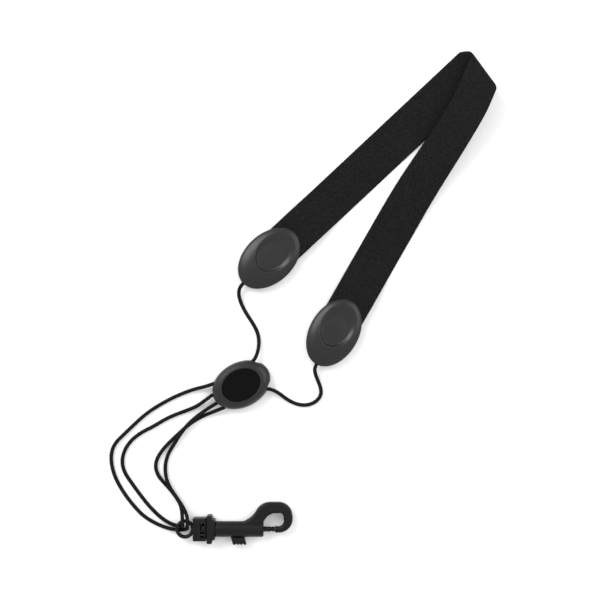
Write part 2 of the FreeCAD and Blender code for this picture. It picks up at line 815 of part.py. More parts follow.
def rear_plug(doc, placement):
    """Plug that closes the barrel: its flange, post and captive post head in the cage."""
    body = new_body(doc, "hook_rear_plug")
    rear = "-Sizes.barrel_length"
    step_rear = rear + " - Sizes.step_thickness"
    flange_rear = step_rear + " - Sizes.flange_thickness"
    wall_rear = flange_rear + " - Sizes.side_gap - Sizes.cage_end_wall"
    head_front = wall_rear + " - Sizes.side_gap"
    head_rear = head_front + " - Sizes.post_head_length"
    profile = driven_sketch(
        body, "plug_profile",
        [
            (head_rear, "0"),
            (rear + " + Sizes.spigot_length", "0"),
            (rear + " + Sizes.spigot_length", "Sizes.bore_radius - Sizes.running_fit"),
            (flange_rear, "Sizes.bore_radius - Sizes.running_fit"),
            (flange_rear, "Sizes.post_radius"),
            (head_front, "Sizes.post_radius"),
            (head_front, "Sizes.post_head_radius"),
            (head_rear, "Sizes.post_head_radius"),
        ],
    )
    spin(body, "PartDesign::Revolution", "plug_core", profile)
    side = "Sizes.flange_width / 2"
    step = "Sizes.step_width / 2"
    outline = driven_sketch(
        body, "flange_outline",
        [
            (flange_rear, f"-{side}"), (step_rear, f"-{side}"), (step_rear, f"-{step}"),
            (rear, f"-{step}"), (rear, step), (step_rear, step), (step_rear, side),
            (flange_rear, side),
        ],
    )
    flange = feature(body, "PartDesign::Pad", "flange", outline, Midplane=True)
    flange.setExpression("Length", "2 * Sizes.barrel_radius")
    body.Placement = placement
    return body


def head_outline():
    """Outline of the hook's head: its back, its crown, its nose and the eye, as arcs."""
    nose = SIZE["gate_reach"] + 2 * SIZE["running_fit"]
    return [
        ("line", (-30.0, 3.0), (-17.0, 5.8)),
        ("arc", (-17.0, 5.8), (-9.0, 10.6), (-5.2, 15.8)),
        ("arc", (-5.2, 15.8), (-0.6, 20.0), (5.4, 21.5)),
        ("line", (5.4, 21.5), (12.4, 21.5)),
        ("arc", (12.4, 21.5), (19.8, 18.3), (22.9, 11.2)),
        ("arc", (22.9, 11.2), (21.2, 2.0), (13.4, -2.6)),
        ("line", (13.4, -2.6), (nose, -2.6)),
        ("line", (nose, -2.6), (nose, 2.6)),
        ("arc", (nose, 2.6), (14.6, 3.2), (15.9, 8.0)),
        ("line", (15.9, 8.0), (15.9, 9.8)),
        ("arc", (15.9, 9.8), (14.9, 12.2), (12.4, 12.8)),
        ("line", (12.4, 12.8), (8.0, 12.7)),
        ("arc", (8.0, 12.7), (3.4, 10.4), (0.0, 5.2)),
        ("line", (0.0, 5.2), (0.0, -5.0)),
        ("line", (0.0, -5.0), (-30.0, -5.0)),
        ("line", (-30.0, -5.0), (-30.0, 3.0)),
    ]


def outline_sketch(body, name, pieces):
    """Closed sketch of straight lines and three-point arcs on the XY plane."""
    sketch = body.newObject("Sketcher::SketchObject", name)
    sketch.AttachmentSupport = [(origin_plane(body, "XY_Plane"), "")]
    sketch.MapMode = "FlatFace"
    for kind, *points in pieces:
        corners = [FreeCAD.Vector(x, y, 0) for x, y in points]
        if kind == "line":
            sketch.addGeometry(Part.LineSegment(*corners), False)
        else:
            sketch.addGeometry(Part.Arc(*corners), False)
    return sketch


def hook_body(doc, placement):
    """Barrel, head and nose of the hook in one moulding."""
    body = new_body(doc, "hook_body")
    rear = "-Sizes.barrel_length"
    barrel_profile = driven_sketch(
        body, "barrel_profile",
        [
            (rear, "0"),
            ("0", "0"),
            ("0", "Sizes.barrel_radius - Sizes.barrel_chamfer"),
            ("-Sizes.barrel_chamfer", "Sizes.barrel_radius"),
            (rear + " + Sizes.barrel_chamfer", "Sizes.barrel_radius"),
            (rear, "Sizes.barrel_radius - Sizes.barrel_chamfer"),
        ],
    )
    spin(body, "PartDesign::Revolution", "barrel", barrel_profile)
    outline = outline_sketch(body, "head_outline", head_outline())
    head = feature(body, "PartDesign::Pad", "head", outline, Midplane=True)
    head.setExpression("Length", size("head_thickness"))
    bore = driven_sketch(
        body, "bore_profile",
        [
            (f"{rear} - {CUT_PAST}", "0"),
            (f"{CUT_PAST}", "0"),
            (f"{CUT_PAST}", "Sizes.gate_radius + Sizes.running_fit"),
            ("-Sizes.bore_end", "Sizes.gate_radius + Sizes.running_fit"),
            ("-Sizes.bore_end", "Sizes.bore_radius"),
            (f"{rear} - {CUT_PAST}", "Sizes.bore_radius"),
        ],
    )
    spin(body, "PartDesign::Groove", "bore", bore)
    stem_front = "-Sizes.collar_front - Sizes.stem_setback"
    slot = driven_sketch(
        body, "slot_outline",
        rectangle(
            stem_front + " - Sizes.stem_length - Sizes.gate_travel - Sizes.side_gap",
            stem_front + " + Sizes.side_gap",
            f"-Sizes.barrel_radius - {CUT_PAST}", "0",
        ),
    )
    cutter = feature(body, "PartDesign::Pocket", "tab_slot", slot, Midplane=True)
    cutter.setExpression("Length", "Sizes.stem_thickness + 2 * Sizes.side_gap")
    body.Placement = placement
    return body


def gate_plunger(doc, placement):
    """Round bolt that closes the hook's mouth, with a collar for the spring and the tab."""
    body = new_body(doc, "gate_plunger")
    collar = "Sizes.bore_radius - Sizes.running_fit"
    front = "-Sizes.collar_front"
    rear = front + " - Sizes.collar_length"
    profile = driven_sketch(
        body, "plunger_profile",
        [
            (rear, "0"),
            ("Sizes.gate_reach", "0"),
            ("Sizes.gate_reach", "Sizes.gate_radius - Sizes.gate_chamfer"),
            ("Sizes.gate_reach - Sizes.gate_chamfer", "Sizes.gate_radius"),
            (front, "Sizes.gate_radius"),
            (front, collar),
            (rear, collar),
        ],
    )
    spin(body, "PartDesign::Revolution", "plunger", profile)
    stem_front = front + " - Sizes.stem_setback"
    socket = driven_sketch(
        body, "stem_socket_outline",
        rectangle(
            stem_front + " - Sizes.stem_length - Sizes.running_fit",
            stem_front + " + Sizes.running_fit",
            f"-Sizes.bore_radius - {CUT_PAST}", "-Sizes.stem_end + Sizes.running_fit",
        ),
    )
    pocket = feature(body, "PartDesign::Pocket", "stem_socket", socket, Midplane=True)
    pocket.setExpression("Length", "Sizes.stem_thickness + 2 * Sizes.running_fit")
    body.Placement = placement
    return body


def thumb_tab(doc, placement):
    """Tab that the thumb pulls: a stem through the slot and a pad with teeth."""
    body = new_body(doc, "thumb_tab")
    front = "-Sizes.collar_front - Sizes.stem_setback"
    stem_rear = front + " - Sizes.stem_length"
    top = "-Sizes.barrel_radius - Sizes.side_gap"
    stem = driven_sketch(
        body, "stem_outline",
        rectangle(stem_rear, front, top + " - Sizes.stem_root", "-Sizes.stem_end"),
    )
    post = feature(body, "PartDesign::Pad", "stem", stem, Midplane=True)
    post.setExpression("Length", size("stem_thickness"))
    low = "-Sizes.tab_reach"
    low_front = front + " + Sizes.tab_slant"
    low_rear = low_front + " - Sizes.tab_length"
    corners = [(low_rear + " - Sizes.tab_lean", top), (low_rear, low)]
    for tooth in range(1, TAB_TEETH):
        middle = f"{low_rear} + {tooth * SIZE['tab_length'] / TAB_TEETH}"
        corners.append((middle + " - Sizes.notch_half_width", low))
        corners.append((middle, low + " + Sizes.tooth_depth"))
        corners.append((middle + " + Sizes.notch_half_width", low))
    corners += [(low_front, low), (front, top)]
    outline = driven_sketch(body, "pad_outline", corners)
    pad = feature(body, "PartDesign::Pad", "pad", outline, Midplane=True)
    pad.setExpression("Length", size("tab_thickness"))
    body.Placement = placement
    return body


def gate_spring(doc, placement):
    """Compression spring between the plunger's collar and the rear plug."""
    gap = SIZE["side_gap"]
    rear = -SIZE["barrel_length"] + SIZE["spigot_length"] + gap + SIZE["spring_wire"]
    front = -SIZE["collar_front"] - SIZE["collar_length"] - gap - SIZE["spring_wire"]
    height = front - rear
    helix = Part.makeHelix(height / SIZE["spring_coils"], height, SIZE["spring_radius"])
    wire = Part.Wire(
        Part.makeCircle(
            SIZE["spring_wire"], FreeCAD.Vector(SIZE["spring_radius"], 0, 0),
            FreeCAD.Vector(0, 1, 0),
        )
    )
    coil = Part.Wire(helix).makePipeShell([wire], True, True)
    item = doc.addObject("Part::Feature", "gate_spring")
    item.Shape = coil
    item.Label = "gate_spring"
    item.Placement = placement.multiply(FreeCAD.Placement(FreeCAD.Vector(rear, 0, 0), X_ALONG))
    return item


def check(items):
    """Stop if a sub-part failed, is null or isn't a valid solid."""
    for item in items:
        if "Invalid" in item.State or "Error" in item.State:
            raise RuntimeError(f"{item.Label} failed: {item.State}")
        shape = item.Shape
        if shape.isNull() or not shape.isValid() or not shape.Solids:
            raise RuntimeError(f"{item.Label} has no valid solid")
        box = shape.BoundBox
        print(
            f"{item.Label}: {len(shape.Solids)} solid, {shape.Volume:.1f} mm3, "
            f"z {box.ZMin:.2f} to {box.ZMax:.2f}"
        )


def main():
    doc = FreeCAD.newDocument("neck_strap")
    make_sheet(doc)
    cap_a = frame_at(CAP_A_PLACE, SIZE["cap_half_height"], CAP_A_ANGLE)
    cap_b = frame_at(CAP_B_PLACE, SIZE["cap_half_height"], CAP_B_ANGLE)
    slider = frame_at(SLIDER_PLACE, SIZE["slider_half_height"], SLIDER_ANGLE)
    ring = frame_at(RING_PLACE, SIZE["barrel_radius"])
    hook_shift = (
        SIZE["cage_start"] + SIZE["cage_block"] + SIZE["window_length"] + SIZE["cage_end_wall"]
        + SIZE["side_gap"] + SIZE["flange_thickness"] + SIZE["step_thickness"]
        + SIZE["barrel_length"]
    )
    hook = frame_at((RING_PLACE[0] + hook_shift, RING_PLACE[1]), SIZE["barrel_radius"])
    parts = [webbing(doc, (cap_a, cap_b))]
    for name, frame in (("cap_a", cap_a), ("cap_b", cap_b)):
        parts.append(cap_shell(doc, f"{name}_front_shell", True, frame))
        parts.append(cap_shell(doc, f"{name}_rear_shell", False, frame))
    parts.append(cord_knot(doc, "cord_knot_a", cap_a))
    parts.append(cord_knot(doc, "cord_knot_b", cap_b))
    for label, points in CORD_ROUTES.items():
        parts.append(free_cord(doc, label, points))
    parts.append(slider_shell(doc, "slider_front_shell", True, slider))
    parts.append(slider_shell(doc, "slider_rear_shell", False, slider))
    parts.append(slider_inlay(doc, slider))
    parts.append(held_cord(doc, "cord_in_slider_a", passage_path(PASSAGE_A), slider))
    parts.append(held_cord(doc, "cord_in_slider_b", passage_path(PASSAGE_B), slider))
    parts.append(held_cord(doc, "cord_in_slider_turn", turn_path(), slider))
    parts.append(swivel_eye(doc, ring))
    parts.append(rear_plug(doc, hook))
    parts.append(hook_body(doc, hook))
    parts.append(gate_plunger(doc, hook))
    parts.append(thumb_tab(doc, hook))
    parts.append(gate_spring(doc, hook))
    doc.recompute()
    check(parts)
    os.makedirs("parts", exist_ok=True)
    for item in parts:
        item.Shape.exportStep(f"parts/{item.Label}.step")


main()
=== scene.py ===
"""Saxophone neck strap, laid out on a pale table: surfaces, soft parts, light and camera."""

import json
import logging
import math
from dataclasses import dataclass, field
from enum import Enum

import bpy
import numpy as np
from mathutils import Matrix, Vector

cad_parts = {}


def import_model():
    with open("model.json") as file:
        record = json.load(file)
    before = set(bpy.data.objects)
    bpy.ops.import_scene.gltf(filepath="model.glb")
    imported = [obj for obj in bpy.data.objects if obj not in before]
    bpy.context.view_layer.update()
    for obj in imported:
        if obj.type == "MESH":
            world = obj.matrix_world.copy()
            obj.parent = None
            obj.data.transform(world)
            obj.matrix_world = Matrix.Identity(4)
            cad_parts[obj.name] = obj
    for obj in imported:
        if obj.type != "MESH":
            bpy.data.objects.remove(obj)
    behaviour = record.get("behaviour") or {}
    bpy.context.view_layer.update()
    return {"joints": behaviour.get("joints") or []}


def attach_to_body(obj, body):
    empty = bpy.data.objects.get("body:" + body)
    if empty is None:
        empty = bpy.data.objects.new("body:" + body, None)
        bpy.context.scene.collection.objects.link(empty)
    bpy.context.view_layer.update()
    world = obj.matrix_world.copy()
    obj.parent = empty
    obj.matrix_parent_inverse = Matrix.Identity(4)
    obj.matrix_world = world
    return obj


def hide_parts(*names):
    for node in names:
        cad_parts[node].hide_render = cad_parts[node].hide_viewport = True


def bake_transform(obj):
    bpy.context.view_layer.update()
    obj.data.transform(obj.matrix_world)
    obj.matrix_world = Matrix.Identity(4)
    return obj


LOG = logging.getLogger("neck_strap")
Point = tuple[float, float, float]
Colour = tuple[float, float, float]

TURN = 2 * math.pi
MM = 0.001
TAPE_WIDTH = 32.0 * MM
CAP_HALF_HEIGHT = 6.2 * MM
SLIDER_HALF_HEIGHT = 6.0 * MM
CORD_BORE = 1.65 * MM
WEFT_PITCH = 1.1 * MM
YARNS = 8
YARN_PITCH = 4.2 * MM
TOOTH_COUNT = 4
WELD_DISTANCE = 1e-6


# ---------------------------------------------------------------- shader trees


class Value:
    """One socket of a shader tree; arithmetic on it adds Math nodes."""

    def __init__(self, surface: "Surface", socket: bpy.types.NodeSocket) -> None:
        """Wrap a socket of a surface's tree."""
        self.surface = surface
        self.socket = socket

    def maths(self, operation: str, *others: object) -> "Value":
        """Add one Math node.

        Args:
            operation: the Math node's operation.
            others: its further inputs, values or numbers.

        Returns:
            The node's result.
        """
        inputs = dict(enumerate((self, *others)))
        return self.surface.value("ShaderNodeMath", {"operation": operation}, inputs)

    def __add__(self, other: object) -> "Value":
        """Sum."""
        return self.maths("ADD", other)

    def __sub__(self, other: object) -> "Value":
        """Difference."""
        return self.maths("SUBTRACT", other)

    def __rsub__(self, other: float) -> "Value":
        """Difference from a number."""
        return (self * -1.0) + other

    def __mul__(self, other: object) -> "Value":
        """Product."""
        return self.maths("MULTIPLY", other)

    def __truediv__(self, other: object) -> "Value":
        """Quotient."""
        return self.maths("DIVIDE", other)

    def __pow__(self, other: object) -> "Value":
        """Power."""
        return self.maths("POWER", other)

    __radd__ = __add__
    __rmul__ = __mul__

    def wave(self, pitch: float) -> "Value":
        """Sine from 0 to 1 of this length, once each pitch."""
        return (self * (TURN / pitch)).maths("SINE") * 0.5 + 0.5


class Surface:
    """The node tree of one material, ending in a Principled shader."""

    def __init__(self, name: str) -> None:
        """Start an empty material with its shader and output.

        Args:
            name: the material's name.
        """
        self.material = bpy.data.materials.new(name)
        self.material.use_nodes = True
        self.tree = self.material.node_tree
        self.tree.nodes.clear()
        self.shader = self.add("ShaderNodeBsdfPrincipled")
        self.add("ShaderNodeOutputMaterial", inputs={"Surface": self.shader.outputs[0]})

    def add(
        self,
        kind: str,
        settings: dict[str, object] | None = None,
        inputs: dict[str | int, object] | None = None,
    ) -> bpy.types.Node:
        """Add a node.

        Args:
            kind: the node's type.
            settings: properties that are set before its sockets.
            inputs: a value, a number or a link for each named or numbered socket.

        Returns:
            The new node.
        """
        node = self.tree.nodes.new(kind)
        for name, setting in (settings or {}).items():
            setattr(node, name, setting)
        for name, given in (inputs or {}).items():
            self.feed(node.inputs[name], given)
        return node

    def feed(self, socket: bpy.types.NodeSocket, given: object) -> None:
        """Link a value to a socket, or set the socket to a number or colour.

        Args:
            socket: the socket to feed.
            given: a value, an output socket, a number or a colour.
        """
        if isinstance(given, Value):
            self.tree.links.new(given.socket, socket)
        elif isinstance(given, bpy.types.NodeSocket):
            self.tree.links.new(given, socket)
        else:
            socket.default_value = given

    def value(
        self,
        kind: str,
        settings: dict[str, object] | None = None,
        inputs: dict[str | int, object] | None = None,
        output: str | int = 0,
    ) -> Value:
        """Add a node and wrap one of its outputs.

        Args:
            kind: the node's type.
            settings: properties that are set before its sockets.
            inputs: a value, a number or a link for each socket.
            output: which output to wrap.

        Returns:
            The output's value.
        """
        return Value(self, self.add(kind, settings, inputs).outputs[output])

    def place(self) -> Value:
        """Object coordinates."""
        return self.value("ShaderNodeTexCoord", output="Object")

    def across_and_along(self) -> tuple[Value, Value]:
        """The two lengths that the piece's own UV map holds.

        Returns:
            Values across and along the piece.
        """
        split = self.add(
            "ShaderNodeSeparateXYZ",
            inputs={0: self.value("ShaderNodeUVMap", {"uv_map": "UVMap"})},
        )
        return Value(self, split.outputs[0]), Value(self, split.outputs[1])

    def noise(self, scale: float, detail: float) -> Value:
        """Noise from 0 to 1 at a scale per metre."""
        inputs = {"Vector": self.place(), "Scale": scale, "Detail": detail}
        return self.value("ShaderNodeTexNoise", None, inputs)

    def blend(self, factor: Value, low: Colour, high: Colour) -> Value:
        """Colour between two colours.

        Args:
            factor: 0 for the low colour, 1 for the high one.
            low: first colour.
            high: second colour.

        Returns:
            The mixed colour.
        """
        node = self.add("ShaderNodeMix", {"data_type": "RGBA"})
        sockets = {socket.identifier: socket for socket in node.inputs}
        self.feed(sockets["Factor_Float"], factor)
        self.feed(sockets["A_Color"], (*low, 1.0))
        self.feed(sockets["B_Color"], (*high, 1.0))
        results = {socket.identifier: socket for socket in node.outputs}
        return Value(self, results["Result_Color"])

    def bump(self, height: Value, distance: float, strength: float) -> None:
        """Drive the shader's normal by a height."""
        inputs = {"Height": height, "Distance": distance, "Strength": strength}
        self.feed(self.shader.inputs["Normal"], self.value("ShaderNodeBump", None, inputs))

    def set(self, **constants: float) -> None:
        """Set constant sockets of the shader, named with underscores for spaces."""
        for name, number in constants.items():
            self.shader.inputs[name.replace("_", " ")].default_value = number

    def drive(self, **values: Value) -> None:
        """Link varying sockets of the shader, named with underscores for spaces."""
        for name, given in values.items():
            self.feed(self.shader.inputs[name.replace("_", " ")], given)


@dataclass(frozen=True)
class WovenTape:
    """Close-woven nylon tape: ribs across, paired warps along."""

    dark: Colour = (0.0008, 0.0008, 0.001)
    light: Colour = (0.0195, 0.0196, 0.0202)
    warp_pitch: float = 0.9 * MM
    weft_pitch: float = WEFT_PITCH
    name: str = "woven_tape"

    def build(self) -> bpy.types.Material:
        """Make the material.

        Returns:
            The finished material.
        """
        surface = Surface(self.name)
        across, along = surface.across_and_along()
        ribs = across.wave(self.warp_pitch)
        picks = (along + across * 0.5).wave(self.weft_pitch)
        weave = ribs * picks
        fibre = surface.noise(5200.0, 3.0)
        picked = (surface.noise(760.0, 3.0) * 2.6 - 0.8).maths("MAXIMUM", 0.0)
        cloudy = surface.noise(26.0, 2.0)
        shade = (weave * 0.4 + fibre * 0.4 + cloudy * 0.2) * picked
        surface.drive(
            Base_Color=surface.blend(shade, self.dark, self.light),
            Roughness=0.72 + fibre * 0.16,
        )
        surface.set(Specular_IOR_Level=0.12)
        surface.bump(weave * 0.7 + fibre * 0.5, 0.00022, 0.8)
        return surface.material


@dataclass(frozen=True)
class BraidedCord:
    """Fine braid of black yarns over a soft core."""

    dark: Colour = (0.0006, 0.0007, 0.0005)
    light: Colour = (0.0055, 0.0058, 0.0046)
    yarns: int = YARNS
    pitch: float = YARN_PITCH
    name: str = "braided_cord"

    def build(self) -> bpy.types.Material:
        """Make the material.

        Returns:
            The finished material.
        """
        surface = Surface(self.name)
        around, along = surface.across_and_along()
        left = (along / self.pitch + around * self.yarns).wave(1.0)
        right = (along / self.pitch - around * self.yarns).wave(1.0)
        braid = left.maths("MAXIMUM", right)
        fibre = surface.noise(6500.0, 2.0)
        surface.drive(
            Base_Color=surface.blend(braid * 0.6 + fibre * 0.4, self.dark, self.light),
            Roughness=0.62 + fibre * 0.2,
        )
        surface.set(Specular_IOR_Level=0.12)
        surface.bump(braid * 0.5 + fibre * 0.5, 0.00012, 0.7)
        return surface.material


@dataclass(frozen=True)
class MouldedPlastic:
    """Injection-moulded plastic with a fine spark texture and light handling wear."""

    name: str
    base: Colour
    worn: Colour
    roughness: float
    grain: float
    shine: float

    def build(self) -> bpy.types.Material:
        """Make the material.

        Returns:
            The finished material.
        """
        surface = Surface(self.name)
        grain = surface.noise(self.grain, 2.0)
        patches = surface.noise(70.0, 3.0)
        scuffs = surface.noise(340.0, 4.0) ** 5.0
        shade = patches * 0.35 + scuffs * 1.6 + grain * 0.15
        surface.drive(
            Base_Color=surface.blend(shade, self.base, self.worn),
            Roughness=self.roughness + grain * 0.1 + patches * 0.08 - scuffs * 0.5,
        )
        surface.set(Specular_IOR_Level=self.shine)
        surface.bump(grain, 0.00005, 0.35)
        return surface.material


@dataclass(frozen=True)
class GlossPlate:
    """Polished black plate with faint wipe marks."""

    base: Colour = (0.0012, 0.0012, 0.0013)
    hazed: Colour = (0.0035, 0.0035, 0.0037)
    name: str = "gloss_plate"

    def build(self) -> bpy.types.Material:
        """Make the material.

        Returns:
            The finished material.
        """
        surface = Surface(self.name)
        haze = surface.noise(55.0, 3.0)
        specks = surface.noise(2400.0, 1.0) ** 12.0
        surface.drive(
            Base_Color=surface.blend(haze * 0.5 + specks * 6.0, self.base, self.hazed),
            Roughness=0.1 + haze * 0.1,
        )
        surface.set(Specular_IOR_Level=0.07)
        surface.bump(haze, 0.0001, 0.1)
        return surface.material


@dataclass(frozen=True)
class SpringWire:
    """Drawn steel wire."""

    base: Colour = (0.36, 0.36, 0.37)
    bright: Colour = (0.6, 0.6, 0.61)
    name: str = "spring_wire"

    def build(self) -> bpy.types.Material:
        """Make the material.

        Returns:
            The finished material.
        """
        surface = Surface(self.name)
        drawn = surface.noise(2200.0, 2.0)
        surface.drive(
            Base_Color=surface.blend(drawn, self.base, self.bright),
            Roughness=0.25 + drawn * 0.2,
        )
        surface.set(Metallic=1.0)
        surface.bump(drawn, 0.00001, 0.3)
        return surface.material


@dataclass(frozen=True)
class TableTop:
    """Plain pale table."""

    tone: float = 0.84

    def build(self) -> bpy.types.Material:
        """Make the material.

        Returns:
            The finished material.
        """
        surface = Surface("table_top")
        soft = surface.noise(9.0, 1.0)
        low = (self.tone, self.tone, self.tone)
        high = (self.tone + 0.01, self.tone + 0.01, self.tone + 0.01)
        surface.drive(Base_Color=surface.blend(soft, low, high), Roughness=soft * 0.1 + 0.85)
        surface.set(Specular_IOR_Level=0.1)
        return surface.material


class Finish(Enum):
    """The finishes of the strap, each named for the record's slot that it belongs to."""

    WEBBING = ("webbing", WovenTape())
    CORD = ("cord", BraidedCord())
    CAP = (
        "cap_plastic",
        MouldedPlastic(
            "satin_shell", base=(0.0045, 0.0048, 0.0046), worn=(0.0145, 0.015, 0.0147),
            roughness=0.26, grain=1900.0, shine=0.34,
        ),
    )
    INLAY = ("inlay", GlossPlate())
    HOOK = (
        "hook_plastic",
        MouldedPlastic(
            "matt_moulding", base=(0.0018, 0.0018, 0.0017), worn=(0.0072, 0.0072, 0.007),
            roughness=0.34, grain=1500.0, shine=0.18,
        ),
    )
    SPRING = ("spring_steel", SpringWire())

    @property
    def slot(self) -> str:
        """Name of the record's material slot."""
        return self.value[0]

    @property
    def material(self) -> bpy.types.Material:
        """The finish's material, made when it is first asked for."""
        recipe = self.value[1]
        return bpy.data.materials.get(recipe.name) or recipe.build()


# ---------------------------------------------------------------- mesh helpers


def unit(vector: np.ndarray) -> np.ndarray:
    """Vectors of length 1 along the last axis."""
    return vector / np.maximum(np.linalg.norm(vector, axis=-1, keepdims=True), 1e-12)


def turns(count: int) -> np.ndarray:
    """Angles at even steps round a full turn."""
    return np.arange(count) * TURN / count


def step_up(value: np.ndarray | float, start: float, end: float) -> np.ndarray:
    """Smooth step from 0 at start to 1 at end."""
    part = np.clip((np.asarray(value, float) - start) / (end - start), 0.0, 1.0)
    return part * part * (3 - 2 * part)


def linked(name: str, data: bpy.types.ID) -> bpy.types.Object:
    """Make an object of a mesh, curve, camera or light and link it to the scene.

    Args:
        name: the object's name.
        data: what it shows.

    Returns:
        The object, at the origin.
    """
    thing = bpy.data.objects.new(name, data)
    bpy.context.scene.collection.objects.link(thing)
    return thing


def curve_mesh(curve: bpy.types.Curve) -> bpy.types.Mesh:
    """Turn a curve into a plain mesh and use up the curve's object.

    Args:
        curve: the finished curve.

    Returns:
        The mesh.
    """
    holder = linked(curve.name + "_curve", curve)
    bpy.context.view_layer.update()
    graph = bpy.context.evaluated_depsgraph_get()
    mesh = bpy.data.meshes.new_from_object(holder.evaluated_get(graph))
    bpy.data.objects.remove(holder)
    return mesh


def mesh_piece(
    name: str, points: np.ndarray, faces: list, uvs: np.ndarray | None = None
) -> bpy.types.Object:
    """Make a mesh object from points and faces.

    Args:
        name: the piece's name.
        points: its corners, in metres.
        faces: tuples of corner numbers, turning outwards.
        uvs: one UV pair for each face corner, in order.

    Returns:
        The object, linked to the scene, at the origin.
    """
    mesh = bpy.data.meshes.new(name)
    mesh.from_pydata([tuple(point) for point in points], [], faces)
    mesh.validate()
    if uvs is not None:
        layer = mesh.uv_layers.new(name="UVMap")
        layer.data.foreach_set("uv", np.asarray(uvs, np.float32).ravel())
    mesh.polygons.foreach_set("use_smooth", [True] * len(mesh.polygons))
    return linked(name, mesh)


def skin(
    name: str, rings: np.ndarray, around: np.ndarray | None = None, along: np.ndarray | None = None
) -> bpy.types.Object:
    """Closed skin over a row of closed rings, with a fan at each end.

    Args:
        name: the piece's name.
        rings: corners, ring by ring, as (ring, corner, xyz).
        around: UV across each corner of a ring, with one more for the seam.
        along: UV along, one for each ring.

    Returns:
        The object.
    """
    count, size, _ = rings.shape
    middles = rings[[0, -1]].mean(axis=1)
    points = np.concatenate([rings.reshape(-1, 3), middles])
    faces = []
    uvs = []
    wrap = np.arange(size + 1) % size
    around = np.linspace(0, 1, size + 1) if around is None else around
    along = np.linspace(0, 1, count) if along is None else along
    for ring in range(count - 1):
        base = ring * size
        for corner in range(size):
            a, b = base + wrap[corner], base + wrap[corner + 1]
            faces.append((a, b, b + size, a + size))
            u0, u1 = around[corner], around[corner + 1]
            v0, v1 = along[ring], along[ring + 1]
            uvs += [(u0, v0), (u1, v0), (u1, v1), (u0, v1)]
    for end, base, middle in ((0, 0, count * size), (-1, (count - 1) * size, count * size + 1)):
        for corner in range(size):
            a, b = base + wrap[corner], base + wrap[corner + 1]
            faces.append((middle, b, a) if end == 0 else (middle, a, b))
            pair = [(around[corner + 1], along[end]), (around[corner], along[end])]
            uvs += [((around[corner] + around[corner + 1]) / 2, along[end])]
            uvs += pair if end == 0 else pair[::-1]
    return mesh_piece(name, points, faces, np.array(uvs))


def face_out(piece: bpy.types.Object) -> bpy.types.Object:
    """Turn a closed mesh's faces outwards if its volume reads as negative.

    Args:
        piece: a closed piece.

    Returns:
        The same piece.
    """
    mesh = piece.data
    mesh.calc_loop_triangles()
    corners = np.empty(len(mesh.vertices) * 3)
    mesh.vertices.foreach_get("co", corners)
    corners = corners.reshape(-1, 3)
    corners = corners - corners.mean(axis=0)
    triangles = np.empty(len(mesh.loop_triangles) * 3, int)
    mesh.loop_triangles.foreach_get("vertices", triangles)
    a, b, c = (corners[triangles.reshape(-1, 3)[:, index]] for index in range(3))
    if np.einsum("ij,ij->i", a, np.cross(b, c)).sum() < 0:
        mesh.flip_normals()
    return piece


def baked(piece: bpy.types.Object) -> bpy.types.Object:
    """Apply every modifier of a piece to its mesh.

    Args:
        piece: the piece.

    Returns:
        The same piece.
    """
    bpy.context.view_layer.update()
    graph = bpy.context.evaluated_depsgraph_get()
    mesh = bpy.data.meshes.new_from_object(piece.evaluated_get(graph))
    piece.modifiers.clear()
    piece.data = mesh
    return piece


class Tooling(Enum):
    """What a closed tool does to the piece that it meets."""

    CUT = "DIFFERENCE"
    JOIN = "UNION"


def carve(
    piece: bpy.types.Object, tools: list[bpy.types.Object], tooling: Tooling = Tooling.CUT
) -> None:
    """Cut tools from a closed piece, or join them to it, and delete the tools.

    Args:
        piece: the closed piece.
        tools: closed pieces that are used up.
        tooling: whether they cut or join.
    """
    for tool in tools:
        face_out(tool)
        modifier = piece.modifiers.new(tool.name, "BOOLEAN")
        modifier.operation = tooling.value
        modifier.solver = "EXACT"
        modifier.object = tool
        baked(piece)
        bpy.data.objects.remove(tool)


def shade(piece: bpy.types.Object, angle: float) -> bpy.types.Object:
    """Shade a mesh smooth except at edges sharper than an angle in degrees.

    Args:
        piece: the piece.
        angle: the sharpest bend that is still smooth.

    Returns:
        The same piece.
    """
    mesh = piece.data
    mesh.polygons.foreach_set("use_smooth", [True] * len(mesh.polygons))
    mesh.set_sharp_from_angle(angle=math.radians(angle))
    return piece


def dress(piece: bpy.types.Object, finish: Finish) -> bpy.types.Object:
    """Give a piece its finish.

    Args:
        piece: the piece.
        finish: its finish.

    Returns:
        The same piece.
    """
    piece.data.materials.clear()
    piece.data.materials.append(finish.material)
    return piece


def attach(piece: bpy.types.Object, finish: Finish, node: str, body: str) -> None:
    """Dress a piece, let it stand for a CAD node and ride on its body.

    Args:
        piece: the finished mesh.
        finish: its finish.
        node: the CAD node that it replaces.
        body: the body that carries it.
    """
    dress(piece, finish)
    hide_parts(node)
    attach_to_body(piece, body)


def lathe(
    name: str, profile: list[tuple[float, float]], size: int = 64
) -> bpy.types.Object:
    """Turn a profile of (distance along X, radius) round the X axis into a closed solid."""
    return round_solid(name, [(x, 0.0, radius) for x, radius in profile], size)


def round_solid(
    name: str, stations: list[tuple[float, float, float]], size: int = 40
) -> bpy.types.Object:
    """Round solid through stations of x, y and radius, its rings square to X.

    Args:
        name: the piece's name.
        stations: x, y and radius of each ring, in metres.
        size: corners of each ring.

    Returns:
        The closed object.
    """
    angle = turns(size)
    rings = np.array([
        np.column_stack([np.full(size, x), y + radius * np.cos(angle), radius * np.sin(angle)])
        for x, y, radius in stations
    ])
    return face_out(skin(name, rings))


